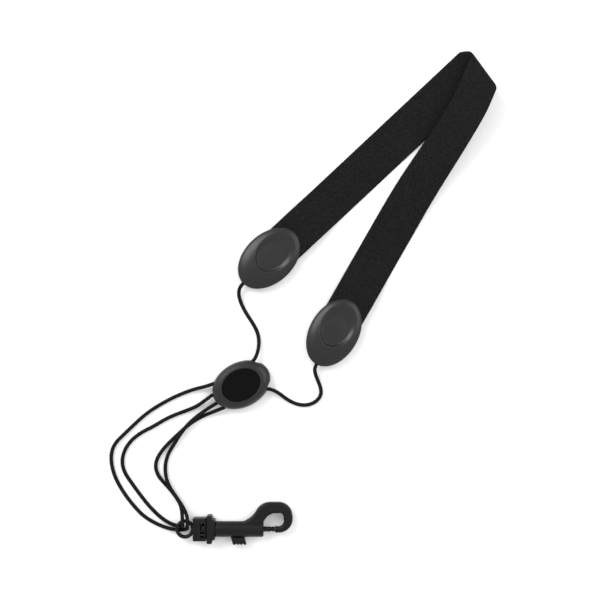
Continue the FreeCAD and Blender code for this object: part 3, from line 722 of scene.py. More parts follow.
def plate(
    name: str, outline: np.ndarray, thickness: float, rounding: float, steps: int
) -> bpy.types.Object:
    """Flat plate about the XY plane from an outline, with rounded edges.

    Args:
        name: the piece's name.
        outline: its corners as (corner, xy), in metres, counter-clockwise.
        thickness: whole thickness.
        rounding: radius of its edges.
        steps: faces round each edge.

    Returns:
        The closed object.
    """
    curve = bpy.data.curves.new(name, "CURVE")
    curve.dimensions = "2D"
    curve.fill_mode = "BOTH"
    spline = curve.splines.new("POLY")
    spline.points.add(len(outline) - 1)
    for point, (x, y) in zip(spline.points, outline):
        point.co = (x, y, 0.0, 1.0)
    spline.use_cyclic_u = True
    curve.extrude = thickness / 2 - rounding
    curve.bevel_depth = rounding
    curve.bevel_resolution = steps
    curve.offset = -rounding
    return weld(linked(name, curve_mesh(curve)))


def weld(piece: bpy.types.Object) -> bpy.types.Object:
    """Merge corners that meet and turn the faces outwards.

    Args:
        piece: the piece.

    Returns:
        The same piece.
    """
    modifier = piece.modifiers.new("weld", "WELD")
    modifier.merge_threshold = WELD_DISTANCE
    return face_out(baked(piece))


def arc_points(
    start: tuple[float, float], middle: tuple[float, float], end: tuple[float, float], count: int
) -> list[tuple[float, float]]:
    """Points along the circle through three points, without the last one.

    Args:
        start: first point.
        middle: a point between.
        end: last point.
        count: how many points to give.

    Returns:
        The points, from the first.
    """
    (ax, ay), (bx, by), (cx, cy) = start, middle, end
    scale = 2 * (ax * (by - cy) + bx * (cy - ay) + cx * (ay - by))
    ux = (
        (ax * ax + ay * ay) * (by - cy) + (bx * bx + by * by) * (cy - ay)
        + (cx * cx + cy * cy) * (ay - by)
    ) / scale
    uy = (
        (ax * ax + ay * ay) * (cx - bx) + (bx * bx + by * by) * (ax - cx)
        + (cx * cx + cy * cy) * (bx - ax)
    ) / scale
    radius = math.hypot(ax - ux, ay - uy)
    first = math.atan2(ay - uy, ax - ux)
    through = (math.atan2(by - uy, bx - ux) - first) % TURN
    sweep = (math.atan2(cy - uy, cx - ux) - first) % TURN
    if through > sweep:
        sweep -= TURN
    return [
        (
            ux + radius * math.cos(first + sweep * step / count),
            uy + radius * math.sin(first + sweep * step / count),
        )
        for step in range(count)
    ]


@dataclass(frozen=True)
class Place:
    """Where a rigid sub-assembly lies: a point and a turn about the upright."""

    point: Point
    degrees: float = 0.0

    def put(self, local: np.ndarray) -> np.ndarray:
        """Move points from the sub-assembly's own axes to the shared frame.

        Args:
            local: points, with xyz on the last axis.

        Returns:
            The points in the shared frame.
        """
        turn = math.radians(self.degrees)
        c, s = math.cos(turn), math.sin(turn)
        local = np.asarray(local, float)
        x = local[..., 0] * c - local[..., 1] * s + self.point[0]
        y = local[..., 0] * s + local[..., 1] * c + self.point[1]
        return np.stack([x, y, local[..., 2] + self.point[2]], axis=-1)

    def settle(self, piece: bpy.types.Object) -> None:
        """Move a finished mesh there.

        Args:
            piece: the piece, in its own axes.
        """
        points = np.empty(len(piece.data.vertices) * 3)
        piece.data.vertices.foreach_get("co", points)
        piece.data.vertices.foreach_set("co", self.put(points.reshape(-1, 3)).ravel())
        piece.data.update()

    def on_table(self) -> "Place":
        """The same place, brought down to the table."""
        return Place((*self.point[:2], 0.0), self.degrees)


CAP_A = Place((-52.3 * MM, 31.0 * MM, CAP_HALF_HEIGHT), 43.15)
CAP_B = Place((-0.8 * MM, -28.2 * MM, CAP_HALF_HEIGHT), 60.2)
SLIDER = Place((-74.48 * MM, -69.6 * MM, SLIDER_HALF_HEIGHT), 28.0)


# ---------------------------------------------------------------- cords


def smooth_line(route: list[Point]) -> np.ndarray:
    """Points of the NURBS line whose control points are a route, in metres.

    Args:
        route: the route's points, in metres.

    Returns:
        Points along the smooth line.
    """
    curve = bpy.data.curves.new("route", "CURVE")
    curve.dimensions = "3D"
    curve.resolution_u = 24
    spline = curve.splines.new("NURBS")
    spline.points.add(len(route) - 1)
    for point, place in zip(spline.points, route):
        point.co = (*place, 1.0)
    spline.order_u = 3
    spline.use_endpoint_u = True
    return np.array([tuple(vertex.co) for vertex in curve_mesh(curve).vertices])


def evenly(points: np.ndarray, spacing: float) -> np.ndarray:
    """Points a given spacing apart along a line of points.

    Args:
        points: the line.
        spacing: the wanted distance.

    Returns:
        The new points, both ends kept.
    """
    lengths = np.linalg.norm(np.diff(points, axis=0), axis=1)
    reached = np.concatenate([[0.0], np.cumsum(lengths)])
    count = max(int(round(reached[-1] / spacing)), 2)
    wanted = np.linspace(0.0, reached[-1], count + 1)
    return np.stack([np.interp(wanted, reached, points[:, axis]) for axis in range(3)], axis=1)


def length_of(points: np.ndarray) -> float:
    """Length of a line of points."""
    return float(np.linalg.norm(np.diff(points, axis=0), axis=1).sum())


@dataclass
class Braid:
    """Round braided cord: yarns cross over a core, so its skin is finely ribbed."""

    radius: float = 1.5 * MM
    relief: float = 0.07 * MM
    yarns: int = YARNS
    pitch: float = YARN_PITCH
    corners: int = 32
    spacing: float = 0.42 * MM

    def tube(self, name: str, line: np.ndarray) -> bpy.types.Object:
        """Cover a line with the braid's skin.

        Args:
            name: the piece's name.
            line: the points it follows, in metres.

        Returns:
            The closed mesh, with UVs round from 0 to 1 and along in metres.
        """
        points = evenly(line, self.spacing)
        tangents = unit(np.gradient(points, axis=0))
        side = unit(np.cross(tangents[0], (0.0, 0.0, 1.0)))
        sides = []
        for tangent in tangents:
            side = unit(side - tangent * np.dot(side, tangent))
            sides.append(side)
        sides = np.array(sides)
        ups = np.cross(tangents, sides)
        along = np.linspace(0.0, length_of(points), len(points))
        angle = turns(self.corners)
        turn = along[:, None] / self.pitch * TURN
        left = np.sin(turn + angle[None] * self.yarns)
        right = np.sin(turn - angle[None] * self.yarns)
        radius = self.radius - self.relief + self.relief * np.maximum(left, right)
        rings = (
            points[:, None]
            + radius[..., None] * np.cos(angle)[None, :, None] * sides[:, None]
            + radius[..., None] * np.sin(angle)[None, :, None] * ups[:, None]
        )
        return face_out(skin(name, rings, along=along))


@dataclass
class FreeCord:
    """One free stretch of the cord."""

    name: str
    route: list[Point]
    bodies: tuple[str, str]
    start: Point
    end: Point
    braid: Braid = field(default_factory=Braid)

    def build(self) -> bpy.types.Object:
        """Returns:
            The cord.
        """
        route = [tuple(number * MM for number in point) for point in self.route]
        line = smooth_line(route)
        piece = dress(self.braid.tube(self.name + "_braid", line), Finish.CORD)
        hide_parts(self.name)
        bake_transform(piece)
        return piece


CORD_ROUTES = {
    "cord_upper_a": [
        (-65.5, 18.7, 6.2), (-75.2, 9.6, 6.2), (-77.0, 3.2, 3.4), (-75.3, -4.0, 1.6),
        (-71.7, -11.4, 1.5), (-66.8, -18.8, 1.5), (-62.6, -25.8, 1.5), (-60.6, -32.6, 1.9),
        (-60.6, -39.2, 3.2), (-62.0, -45.4, 5.0), (-64.4, -50.4, 6.0), (-67.6, -52.73, 6.0),
    ],
    "cord_upper_b": [
        (-9.8, -43.9, 6.2), (-16.1, -54.9, 6.2), (-15.9, -60.4, 3.6), (-13.7, -66.2, 1.8),
        (-11.2, -72.2, 1.5), (-10.9, -78.4, 1.5), (-15.2, -83.8, 1.5), (-22.4, -86.4, 1.5),
        (-30.2, -85.6, 1.5), (-37.6, -82.0, 1.8), (-43.4, -77.4, 3.2), (-48.0, -74.4, 5.0),
        (-53.7, -72.5, 6.0), (-56.44, -73.49, 6.0),
    ],
    "cord_lower_loop_1": [
        (-96.1, -68.65, 5.9), (-103.0, -71.2, 4.2), (-113.4, -73.6, 1.8), (-126.6, -78.8, 1.5),
        (-139.6, -85.6, 1.5), (-150.8, -93.0, 1.5), (-160.0, -101.4, 1.5), (-169.2, -110.2, 1.5),
        (-176.0, -117.0, 1.5), (-178.9, -125.2, 1.5), (-178.2, -135.6, 1.5),
        (-174.4, -146.6, 1.5), (-167.4, -158.0, 1.5), (-160.0, -167.4, 1.5),
        (-152.4, -175.2, 1.5), (-142.8, -180.8, 1.6), (-134.2, -184.2, 2.0),
        (-126.8, -185.6, 2.2), (-120.4, -185.6, 2.7), (-117.3, -183.9, 6.4),
        (-117.2, -182.2, 10.4), (-116.8, -178.2, 11.4), (-117.2, -173.8, 10.6),
        (-119.2, -169.0, 9.2), (-122.0, -164.6, 7.6), (-125.2, -160.4, 5.9),
        (-128.9, -155.4, 5.0), (-132.1, -150.2, 4.8), (-134.3, -145.0, 3.5),
        (-135.5, -139.0, 1.8), (-135.2, -132.0, 1.5), (-133.0, -124.8, 1.6),
        (-129.0, -118.4, 2.4), (-125.2, -112.2, 4.2), (-121.2, -106.2, 5.1),
        (-116.4, -100.6, 5.1), (-110.6, -95.4, 4.8), (-104.8, -91.2, 4.5),
        (-98.6, -87.0, 5.0), (-94.0, -84.2, 5.87),
    ],
    "cord_lower_loop_2": [
        (-97.45, -77.7, 5.9), (-103.6, -82.4, 4.2), (-111.0, -87.6, 1.8), (-121.6, -91.6, 1.5),
        (-133.0, -96.0, 1.5), (-144.6, -103.0, 1.5), (-155.4, -108.4, 1.5),
        (-163.2, -114.8, 1.5), (-168.4, -122.8, 1.5), (-170.2, -131.4, 1.5),
        (-168.2, -139.8, 1.5), (-162.6, -148.0, 1.5), (-155.8, -157.4, 1.5),
        (-148.2, -167.0, 1.5), (-140.6, -174.6, 1.5), (-133.6, -179.6, 1.9),
        (-127.2, -182.3, 2.2), (-123.1, -182.3, 2.4), (-120.9, -182.35, 6.6),
        (-120.7, -180.9, 11.9), (-120.9, -176.2, 10.8), (-121.6, -170.6, 6.8),
        (-123.2, -165.4, 3.2), (-126.0, -160.8, 1.7), (-129.6, -156.0, 1.5),
        (-133.3, -151.4, 1.5), (-137.8, -146.8, 1.5), (-141.6, -141.8, 1.5),
        (-143.5, -135.0, 1.5), (-141.8, -128.2, 1.5), (-137.4, -121.6, 1.5),
        (-131.8, -115.6, 1.5), (-126.0, -110.2, 1.5), (-119.8, -104.4, 1.5),
        (-112.8, -99.0, 1.5), (-105.7, -95.0, 1.6), (-98.6, -92.0, 3.2),
        (-92.9, -89.7, 5.1), (-87.7, -87.5, 5.93),
    ],
}


# ---------------------------------------------------------------- neck band


@dataclass
class NeckBand:
    """Woven band bent back on itself, from one end cap to the other."""

    width: float = TAPE_WIDTH
    thickness: float = 1.7 * MM
    in_cap: float = 3.0 * MM
    entry_height: float = CAP_HALF_HEIGHT
    leg_down: tuple[float, float] = (31.0 * MM, 68.0 * MM)
    radius_inner: float = 4.0 * MM
    radius_outer: float = 12.5 * MM
    reach_inner: float = 4.5 * MM
    reach_outer: float = 5.5 * MM
    leg_a: Place = CAP_A.on_table()
    leg_a_ends: tuple[float, float] = (224.0 * MM, 212.0 * MM)
    leg_b: Place = CAP_B.on_table()
    leg_b_ends: tuple[float, float] = (243.0 * MM, 228.5 * MM)
    leg_b_rise: float = 92.0 * MM
    bow: float = 3.2 * MM
    bow_from: float = 115.0 * MM
    bow_most: float = 205.0 * MM
    out_degrees: float = 38.0
    spacing: float = 0.5 * MM
    warps: int = 30
    relief: float = 0.06 * MM
    under_steps: int = 241
    upper_steps: int = 261
    fold_steps: int = 42

    def height(self, along: float) -> float:
        """Height of the band's middle near a cap."""
        floor = self.thickness / 2
        return floor + (self.entry_height - floor) * (1 - float(step_up(along, *self.leg_down)))

    def under_edge(self, along: float, across: float) -> np.ndarray:
        """Point on the under leg."""
        return self.leg_a.put(np.array([along, across, self.height(along)]))

    def upper_edge(self, along: float, across: float, lift: float) -> np.ndarray:
        """Point on the upper leg, which climbs to the fold and bows a little.

        Args:
            along: distance from the cap.
            across: distance from the leg's middle.
            lift: radius of the fold at this edge.

        Returns:
            The point.
        """
        top = self.leg_b_ends[0]
        rise = float(step_up(along, self.leg_b_rise, top))
        tilt = math.asin(2 * (self.radius_outer - self.radius_inner) / self.width)
        narrowing = 1 - rise * (1 - math.cos(tilt))
        bend = step_up(along, self.bow_from, self.bow_most) - step_up(along, self.bow_most, top)
        offset = self.bow * float(bend)
        height = self.height(along) + 2 * lift * rise
        return self.leg_b.put(np.array([along, across * narrowing - offset, height]))

    def edges(self) -> tuple[np.ndarray, np.ndarray]:
        """The band's two edges, point by point, from cap to cap.

        Returns:
            Points of the inner edge and of the outer one.
        """
        half = self.width / 2
        inner = []
        outer = []
        for share in np.linspace(0, 1, self.under_steps):
            stations = [-self.in_cap + share * (end + self.in_cap) for end in self.leg_a_ends]
            inner.append(self.under_edge(stations[0], half))
            outer.append(self.under_edge(stations[1], -half))
        over = []
        for share in np.linspace(1, 0, self.upper_steps):
            stations = [-self.in_cap + share * (end + self.in_cap) for end in self.leg_b_ends]
            over.append((
                self.upper_edge(stations[0], half, self.radius_inner),
                self.upper_edge(stations[1], -half, self.radius_outer),
            ))
        inner_end, outer_end = inner[-1], outer[-1]
        for share in np.linspace(0, 1, self.fold_steps)[1:-1]:
            inner.append(self.fold_point(inner_end, over[0][0], self.reach_inner, share))
            outer.append(self.fold_point(outer_end, over[0][1], self.reach_outer, share))
        inner += [pair[0] for pair in over]
        outer += [pair[1] for pair in over]
        return np.array(inner), np.array(outer)

    def fold_point(
        self, start: np.ndarray, end: np.ndarray, farthest: float, share: float
    ) -> np.ndarray:
        """Point on one edge of the fold, a half turn that also moves from start to end.

        Args:
            start: where the edge leaves the under leg.
            end: where it meets the upper leg.
            farthest: how far out the bend stands.
            share: how much of the turn is done.

        Returns:
            The point.
        """
        turn = math.pi * share
        out = math.radians(self.out_degrees)
        point = start + (end - start) * share
        reach = farthest * math.sin(turn)
        point[0] += reach * math.cos(out)
        point[1] += reach * math.sin(out)
        point[2] = start[2] + (end[2] - start[2]) * (1 - math.cos(turn)) / 2
        return point

    def surface(self) -> tuple[np.ndarray, np.ndarray, np.ndarray]:
        """The band's smoothed edges at even steps, and the distance along at each.

        Returns:
            Inner edge, outer edge and distances.
        """
        inner, outer = self.edges()
        middle = (inner + outer) / 2
        reached = np.concatenate([[0], np.cumsum(np.linalg.norm(np.diff(middle, axis=0), axis=1))])
        wanted = np.linspace(0, reached[-1], int(reached[-1] / self.spacing) + 1)
        window = 9
        kernel = np.hanning(window + 2)[1:-1]
        kernel = kernel / kernel.sum()
        smoothed = []
        for edge in (inner, outer):
            even = np.stack([np.interp(wanted, reached, edge[:, i]) for i in range(3)], axis=1)
            padded = np.concatenate([
                2 * even[0] - even[window // 2:0:-1],
                even,
                2 * even[-1] - even[-2:-window // 2 - 1:-1],
            ])
            smoothed.append(np.stack(
                [np.convolve(padded[:, i], kernel, "valid") for i in range(3)], axis=1
            ))
        return smoothed[0], smoothed[1], wanted

    def build(self) -> None:
        inner, outer, along = self.surface()
        middle = (inner + outer) / 2
        normals = unit(np.cross(unit(np.gradient(middle, axis=0)), unit(inner - outer)))
        across = np.linspace(-0.5, 0.5, self.warps * 2 + 1)
        half = self.thickness / 2
        edge_drop = half * 0.55 * np.abs(2 * across) ** 26
        row = inner[:, None] * (0.5 + across)[None, :, None]
        row = row + outer[:, None] * (0.5 - across)[None, :, None]
        picks = along[:, None] / WEFT_PITCH * TURN
        woven = self.relief * np.sin(picks + np.arange(across.size)[None] * math.pi)
        rise = normals[:, None] * (half - self.relief - edge_drop[None] + woven)[..., None]
        top = row + rise
        under = row - rise
        rings = np.concatenate([top, under[:, ::-1]], axis=1)
        width = across * self.width
        around = np.concatenate([width, width[::-1], width[:1]])
        band = face_out(skin("webbing_band", rings, around=around, along=along))
        attach(band, Finish.WEBBING, "webbing", "neck_band")
        loops = self.selvedges(inner, outer)
        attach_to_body(loops, "neck_band")

    def selvedges(self, inner: np.ndarray, outer: np.ndarray) -> bpy.types.Object:
        """Turned-back weft loops along both edges, placed by Geometry Nodes.

        Args:
            inner: points of one edge.
            outer: points of the other edge.

        Returns:
            One plain mesh of every loop.
        """
        points = np.concatenate([inner, outer[::-1]])
        count = len(inner)
        links = [(i, i + 1) for i in range(count - 1)]
        links += [(count + i, count + i + 1) for i in range(count - 1)]
        mesh = bpy.data.meshes.new("selvedge_lines")
        mesh.from_pydata([tuple(point) for point in points], links, [])
        piece = linked("webbing_selvedge", mesh)
        selvedge_tree().run(piece, {
            "Pitch": WEFT_PITCH, "Loop radius": 0.36 * MM, "Finish": Finish.WEBBING.material,
        })
        return piece


# ---------------------------------------------------------------- node groups


class NodeTree:
    """A Geometry Nodes group under construction."""

    def __init__(self, name: str) -> None:
        """Start a group with a mesh going in and a mesh coming out.

        Args:
            name: the group's name.
        """
        self.group = bpy.data.node_groups.new(name, "GeometryNodeTree")
        self.socket("Geometry", "NodeSocketGeometry", "INPUT")
        self.socket("Geometry", "NodeSocketGeometry", "OUTPUT")

    def socket(self, name: str, kind: str, side: str = "INPUT") -> None:
        """Add a named socket to the group."""
        self.group.interface.new_socket(name, in_out=side, socket_type=kind)

    def add(
        self, kind: str, settings: dict[str, object] | None = None,
        inputs: dict[str | int, object] | None = None,
    ) -> bpy.types.Node:
        """Add a node with its settings, then its values and links.

        Args:
            kind: the node's type.
            settings: properties that are set first.
            inputs: a number, a material or a link for each socket.

        Returns:
            The new node.
        """
        node = self.group.nodes.new(kind)
        for name, setting in (settings or {}).items():
            setattr(node, name, setting)
        for name, given in (inputs or {}).items():
            if isinstance(given, bpy.types.NodeSocket):
                self.group.links.new(given, node.inputs[name])
            else:
                node.inputs[name].default_value = given
        return node

    def run(self, piece: bpy.types.Object, sizes: dict[str, object]) -> None:
        """Run the group on a piece and keep the result as its plain mesh.

        Args:
            piece: the piece that holds the starting mesh.
            sizes: a number or material for each named input.
        """
        modifier = piece.modifiers.new(self.group.name, "NODES")
        modifier.node_group = self.group
        for item in self.group.interface.items_tree:
            if item.item_type == "SOCKET" and item.in_out == "INPUT" and item.name in sizes:
                modifier[item.identifier] = sizes[item.name]
        baked(piece)

    def finish(self, geometry: bpy.types.NodeSocket, material: bpy.types.NodeSocket) -> None:
        """End the group in Realize Instances and Set Material.

        Args:
            geometry: what the group has made.
            material: the input that holds its finish.
        """
        real = self.add("GeometryNodeRealizeInstances", inputs={0: geometry})
        coated = self.add(
            "GeometryNodeSetMaterial", inputs={"Geometry": real.outputs[0], "Material": material}
        )
        self.add("NodeGroupOutput", inputs={0: coated.outputs[0]})


def selvedge_tree() -> NodeTree:
    """Make the group that sets small weft loops at even steps along lines.

    Returns:
        The finished group.
    """
    tree = NodeTree("selvedge")
    tree.socket("Pitch", "NodeSocketFloat")
    tree.socket("Loop radius", "NodeSocketFloat")
    tree.socket("Finish", "NodeSocketMaterial")
    start = tree.add("NodeGroupInput")
    lines = tree.add("GeometryNodeMeshToCurve", inputs={0: start.outputs["Geometry"]})
    steps = tree.add(
        "GeometryNodeCurveToPoints", {"mode": "LENGTH"},
        {"Curve": lines.outputs[0], "Length": start.outputs["Pitch"]},
    )
    loop = tree.add(
        "GeometryNodeMeshUVSphere",
        inputs={"Segments": 8, "Rings": 6, "Radius": start.outputs["Loop radius"]},
    )
    smooth = tree.add("GeometryNodeSetShadeSmooth", inputs={0: loop.outputs["Mesh"]})
    stretched = tree.add(
        "GeometryNodeTransform",
        inputs={"Geometry": smooth.outputs[0], "Scale": (1.0, 1.0, 1.55)},
    )
    placed = tree.add(
        "GeometryNodeInstanceOnPoints",
        inputs={
            "Points": steps.outputs["Points"], "Instance": stretched.outputs[0],
            "Rotation": steps.outputs["Rotation"],
        },
    )
    tree.finish(placed.outputs[0], start.outputs["Finish"])
    return tree


# ---------------------------------------------------------------- end caps


class Side(Enum):
    """Which half of a two-part shell."""

    FRONT = 1.0
    REAR = -1.0


@dataclass
class EndCap:
    """Oval cap in two domed halves that clamp the band and hold the cord's knot."""

    name: str
    place: Place
    length: float = 28.8 * MM
    width: float = 19.6 * MM
    height: float = CAP_HALF_HEIGHT
    edge: float = 0.9 * MM
    dish_shift: float = 6.4 * MM
    dish_length: float = 18.2 * MM
    dish_width: float = 13.8 * MM
    dish_depth: float = 2.6 * MM
    wall: float = 1.5 * MM
    band_width: float = TAPE_WIDTH
    band_gap: float = 0.95 * MM
    corners: int = 128
    bore: float = CORD_BORE
    knot_place: float = -14.0 * MM

    def dome(self, x: np.ndarray, y: np.ndarray) -> np.ndarray:
        """Height of the plain dome over the parting plane."""
        reach = np.clip((x / self.length) ** 2 + (y / self.width) ** 2, 0.0, 1.0)
        return self.edge + (self.height - self.edge) * (1 - reach ** 1.25) ** 0.62

    def rim_height(self, x: np.ndarray, y: np.ndarray) -> np.ndarray:
        """Height of the shell's rim, lifted where the band comes out.

        Args:
            x: distance along the cap.
            y: distance across it.

        Returns:
            The height.
        """
        beside = step_up(np.abs(y), self.band_width / 2 + 0.2 * MM, self.band_width / 2 + 0.9 * MM)
        forward = step_up(x, 8.0 * MM, 10.0 * MM)
        return 0.02 * MM + (self.band_gap - 0.02 * MM) * forward * (1 - beside)

    def rings(self) -> np.ndarray:
        """Rings of one half, from the dish's middle over the rim and back inside.

        Returns:
            The rings, as (ring, corner, xyz).
        """
        angle = turns(self.corners)
        oval = np.stack([
            self.dish_shift + self.dish_length * np.cos(angle), self.dish_width * np.sin(angle),
        ], axis=1)
        centre = np.array([self.dish_shift, 0.0])
        rim = np.stack([self.length * np.cos(angle), self.width * np.sin(angle)], axis=1)
        cordward = (1 - np.cos(angle)) / 2
        rings = []
        foot = 0.30 + 0.58 * cordward ** 0.7
        for share in (
            0.02, 0.1, 0.2, 0.3, 0.4, 0.5, 0.58, 0.66, 0.72, 0.78, 0.83, 0.87,
            0.9, 0.92, 0.94, 0.955, 0.97, 0.982, 0.992, 1.0,
        ):
            x, y = (centre + (oval - centre) * share).T
            wall = np.clip((share - foot) / (1 - foot), 0, 1)
            ease = wall * wall * (3 - 2 * wall) * cordward + wall ** 1.6 * (1 - cordward)
            fall = self.dish_depth * (1 - ease * 0.985)
            rings.append(np.stack([x, y, self.dome(x, y) - fall], axis=1))
        for share in (
            0.012, 0.03, 0.06, 0.12, 0.2, 0.3, 0.4, 0.5, 0.6, 0.7, 0.79, 0.86, 0.91,
            0.945, 0.97, 0.985, 0.994, 0.999,
        ):
            x, y = (oval + (rim - oval) * share).T
            rings.append(np.stack([x, y, self.dome(x, y)], axis=1))
        low = self.rim_height(*rim.T)
        brow = np.maximum(self.dome(*rim.T) - 0.12 * MM, low + 0.05 * MM)
        rings.append(np.column_stack([rim, brow]))
        rings.append(np.column_stack([rim, low + 0.04 * MM]))
        rings.append(np.column_stack([rim * 0.994, low]))
        inside = rim * (1 - self.wall / self.width)
        rings.append(np.column_stack([inside, self.rim_height(*inside.T)]))
        for share in (0.985, 0.93, 0.84, 0.72, 0.58, 0.42, 0.25, 0.08):
            x, y = (inside * share).T
            roof = self.dome(x, y) - self.wall - self.dish_depth * 0.9
            roof = np.maximum(roof, self.rim_height(x, y) + 0.05 * MM)
            rings.append(np.column_stack([x, y, roof]))
        return np.array(rings)

    def half(self, side: Side) -> None:
        """Make one moulded half, with its share of the cord's bore.

        Args:
            side: which half.
        """
        rings = self.rings()
        rings[..., 2] *= side.value
        word = side.name.lower()
        piece = face_out(skin(f"{self.name}_{word}_moulding", rings))
        carve(piece, [lathe("bore", [
            (-self.length * 1.15, 2.7 * MM), (-self.length * 0.985, self.bore),
            (self.knot_place, self.bore),
        ], 40)])
        shade(piece, 38.0)
        self.place.settle(piece)
        attach(piece, Finish.CAP, f"{self.name}_{word}_shell", "neck_band")

    def knot(self) -> None:
        """Tie the stopper knot inside, a tight trefoil of the cord."""
        turn = np.linspace(0, TURN, 181)
        size = 0.78 * MM
        line = np.stack([
            self.knot_place + size * (np.sin(turn) + 2 * np.sin(2 * turn)) * 0.9,
            size * (np.cos(turn) - 2 * np.cos(2 * turn)) * 0.9,
            -size * 1.5 * np.sin(3 * turn),
        ], axis=1)
        braid = Braid(radius=1.0 * MM, relief=0.04 * MM, corners=20)
        piece = braid.tube(f"{self.name}_knot", self.place.put(line))
        attach(piece, Finish.CORD, f"cord_knot_{self.name[-1]}", "neck_band")

    def build(self) -> None:
        """Make both halves and the knot."""
        for side in Side:
            self.half(side)
        self.knot()
        LOG.info("%s: two halves and a knot", self.name)


# ---------------------------------------------------------------- slider


@dataclass
class Adjuster:
    """Oval slider in two halves, with the cord's passages and a glossy plate."""

    place: Place
    length: float = 24.4 * MM
    width: float = 17.9 * MM
    bulge: float = 9.0 * MM
    height: float = SLIDER_HALF_HEIGHT
    plate_length: float = 16.0 * MM
    plate_width: float = 12.3 * MM
    plate_drop: float = 1.3 * MM
    plate_thickness: float = 1.0 * MM
    passage: float = CORD_BORE
    passages: tuple[tuple, tuple] = (((-18.0, 10.9), (13.5, 11.6)), ((-19.5, -9.6), (13.5, -11.8)))
    turn_radius: float = 3.7 * MM
    turn_edge: float = -23.55 * MM
    turn_depth: float = 14.0 * MM
    corners: int = 128

    def shoulder(self, side: Side) -> list[tuple[float, float]]:
        """Share of the way from the rim to the plate, and height, for each ring.

        Args:
            side: which half.

        Returns:
            A pair for each ring.
        """
        top = self.height
        profile = [(0.0, 0.05 * MM), (-0.004, 0.35 * MM)]
        for share in np.linspace(0.02, 0.74, 15):
            reach = 1 - share * 0.33
            profile.append((share, min(self.bulge * math.sqrt(1 - reach * reach), top - 0.5 * MM)))
        if side is Side.FRONT:
            profile += [(0.80, top - 0.34 * MM), (0.86, top - 0.3 * MM), (0.885, top - 0.12 * MM)]
            profile += [(0.905, top), (0.94, top), (0.965, top - 0.1 * MM), (0.985, top - 0.4 * MM)]
            profile += [(0.992, top - self.plate_drop)]
        else:
            profile += [(0.84, top - 0.14 * MM), (0.93, top - 0.02 * MM), (1.05, top)]
        return profile

    def oval(self) -> np.ndarray:
        """Corners of a circle of radius 1, as (corner, xy)."""
        angle = turns(self.corners)
        return np.stack([np.cos(angle), np.sin(angle)], axis=1)

    def stacked(self, stations: list[tuple[np.ndarray, float]]) -> np.ndarray:
        """Rings of flat outlines, each at its height.

        Args:
            stations: the corners and the height of each ring.

        Returns:
            The rings, as (ring, corner, xyz).
        """
        return np.array([
            np.column_stack([flat, np.full(self.corners, height)]) for flat, height in stations
        ])

    def half(self, side: Side) -> None:
        """Make one half of the body with its half of each passage.

        Args:
            side: which half.
        """
        oval = self.oval()
        rim = oval * (self.length, self.width)
        seat = oval * (self.plate_length, self.plate_width)
        stations = [(rim * share, 0.0) for share in (0.02, 0.5, 0.9, 0.985)]
        stations += [(rim + (seat - rim) * share, height) for share, height in self.shoulder(side)]
        last = stations[-1][1]
        stations += [(seat * share, last) for share in (0.9, 0.5, 0.02)]
        rings = self.stacked(stations)
        rings[..., 2] *= side.value
        word = side.name.lower()
        piece = face_out(skin(f"slider_{word}_moulding", rings))
        carve(piece, self.cutters())
        shade(piece, 35.0)
        self.place.settle(piece)
        attach(piece, Finish.CAP, f"slider_{word}_shell", "slider")

    def cutters(self) -> list[bpy.types.Object]:
        """Tools for the passages and their flared mouths.

        Returns:
            Closed cutters, in the slider's own axes.
        """
        tools = []
        for (x0, y0), (x1, y1) in self.passages:
            slope = (y1 - y0) / (x1 - x0)
            stations = (-30.0, -20.5, -18.0, 14.0, 17.4, 27.0)
            radii = (4.6 * MM, 2.0 * MM, self.passage, self.passage, 2.5 * MM, 6.0 * MM)
            tools.append(round_solid("passage", [
                (x * MM, (y0 + slope * (x - x0)) * MM, radius)
                for x, radius in zip(stations, radii)
            ]))
        for across in (self.turn_radius, -self.turn_radius):
            tools.append(round_solid("passage", [
                (-32.0 * MM, across, 4.0 * MM), (-24.0 * MM, across, 1.9 * MM),
                (-22.0 * MM, across, self.passage), (-9.5 * MM, across, self.passage),
            ]))
        return tools

    def inlay(self) -> None:
        """Make the bare glossy plate, slightly crowned."""
        outline = self.oval() * (np.array([self.plate_length, self.plate_width]) - 0.1 * MM)
        under = self.height - self.plate_drop
        top = under + self.plate_thickness
        stations = [(0.02, under), (0.6, under), (1.0, under), (1.0, top - 0.42 * MM)]
        stations += [(0.995, top - 0.34 * MM), (0.98, top - 0.3 * MM), (0.94, top - 0.27 * MM)]
        stations += [(share, top - 0.27 * MM * share ** 2) for share in (0.86, 0.7, 0.5, 0.3, 0.02)]
        rings = self.stacked([(outline * share, height) for share, height in stations])
        piece = shade(face_out(skin("slider_plate", rings)), 40.0)
        self.place.settle(piece)
        attach(piece, Finish.INLAY, "slider_inlay", "slider")

    def held_cords(self) -> None:
        """Make the cord's stretches inside: two passages and the turn."""
        lines = {}
        for name, ((x0, y0), (x1, y1)) in zip("ab", self.passages):
            lines[f"cord_in_slider_{name}"] = np.array([(x0, y0, 0.0), (x1, y1, 0.0)]) * MM
        radius = self.turn_radius
        inside = self.turn_edge + self.turn_depth
        bend = np.linspace(math.pi / 2, -math.pi / 2, 25)
        arc = np.stack([
            inside + radius * np.cos(bend), radius * np.sin(bend), np.zeros(25),
        ], axis=1)
        ends = np.array([[self.turn_edge, radius, 0.0], [self.turn_edge, -radius, 0.0]])
        lines["cord_in_slider_turn"] = np.concatenate([ends[:1], arc, ends[1:]])
        for name, line in lines.items():
            piece = Braid().tube(name + "_braid", self.place.put(evenly(line, 0.5 * MM)))
            attach(piece, Finish.CORD, name, "slider")

    def build(self) -> None:
        """Make both halves, the plate and the held cord."""
        for side in Side:
            self.half(side)
        self.inlay()
        self.held_cords()
        LOG.info("slider: two halves, plate and held cord")


# ---------------------------------------------------------------- hook and swivel


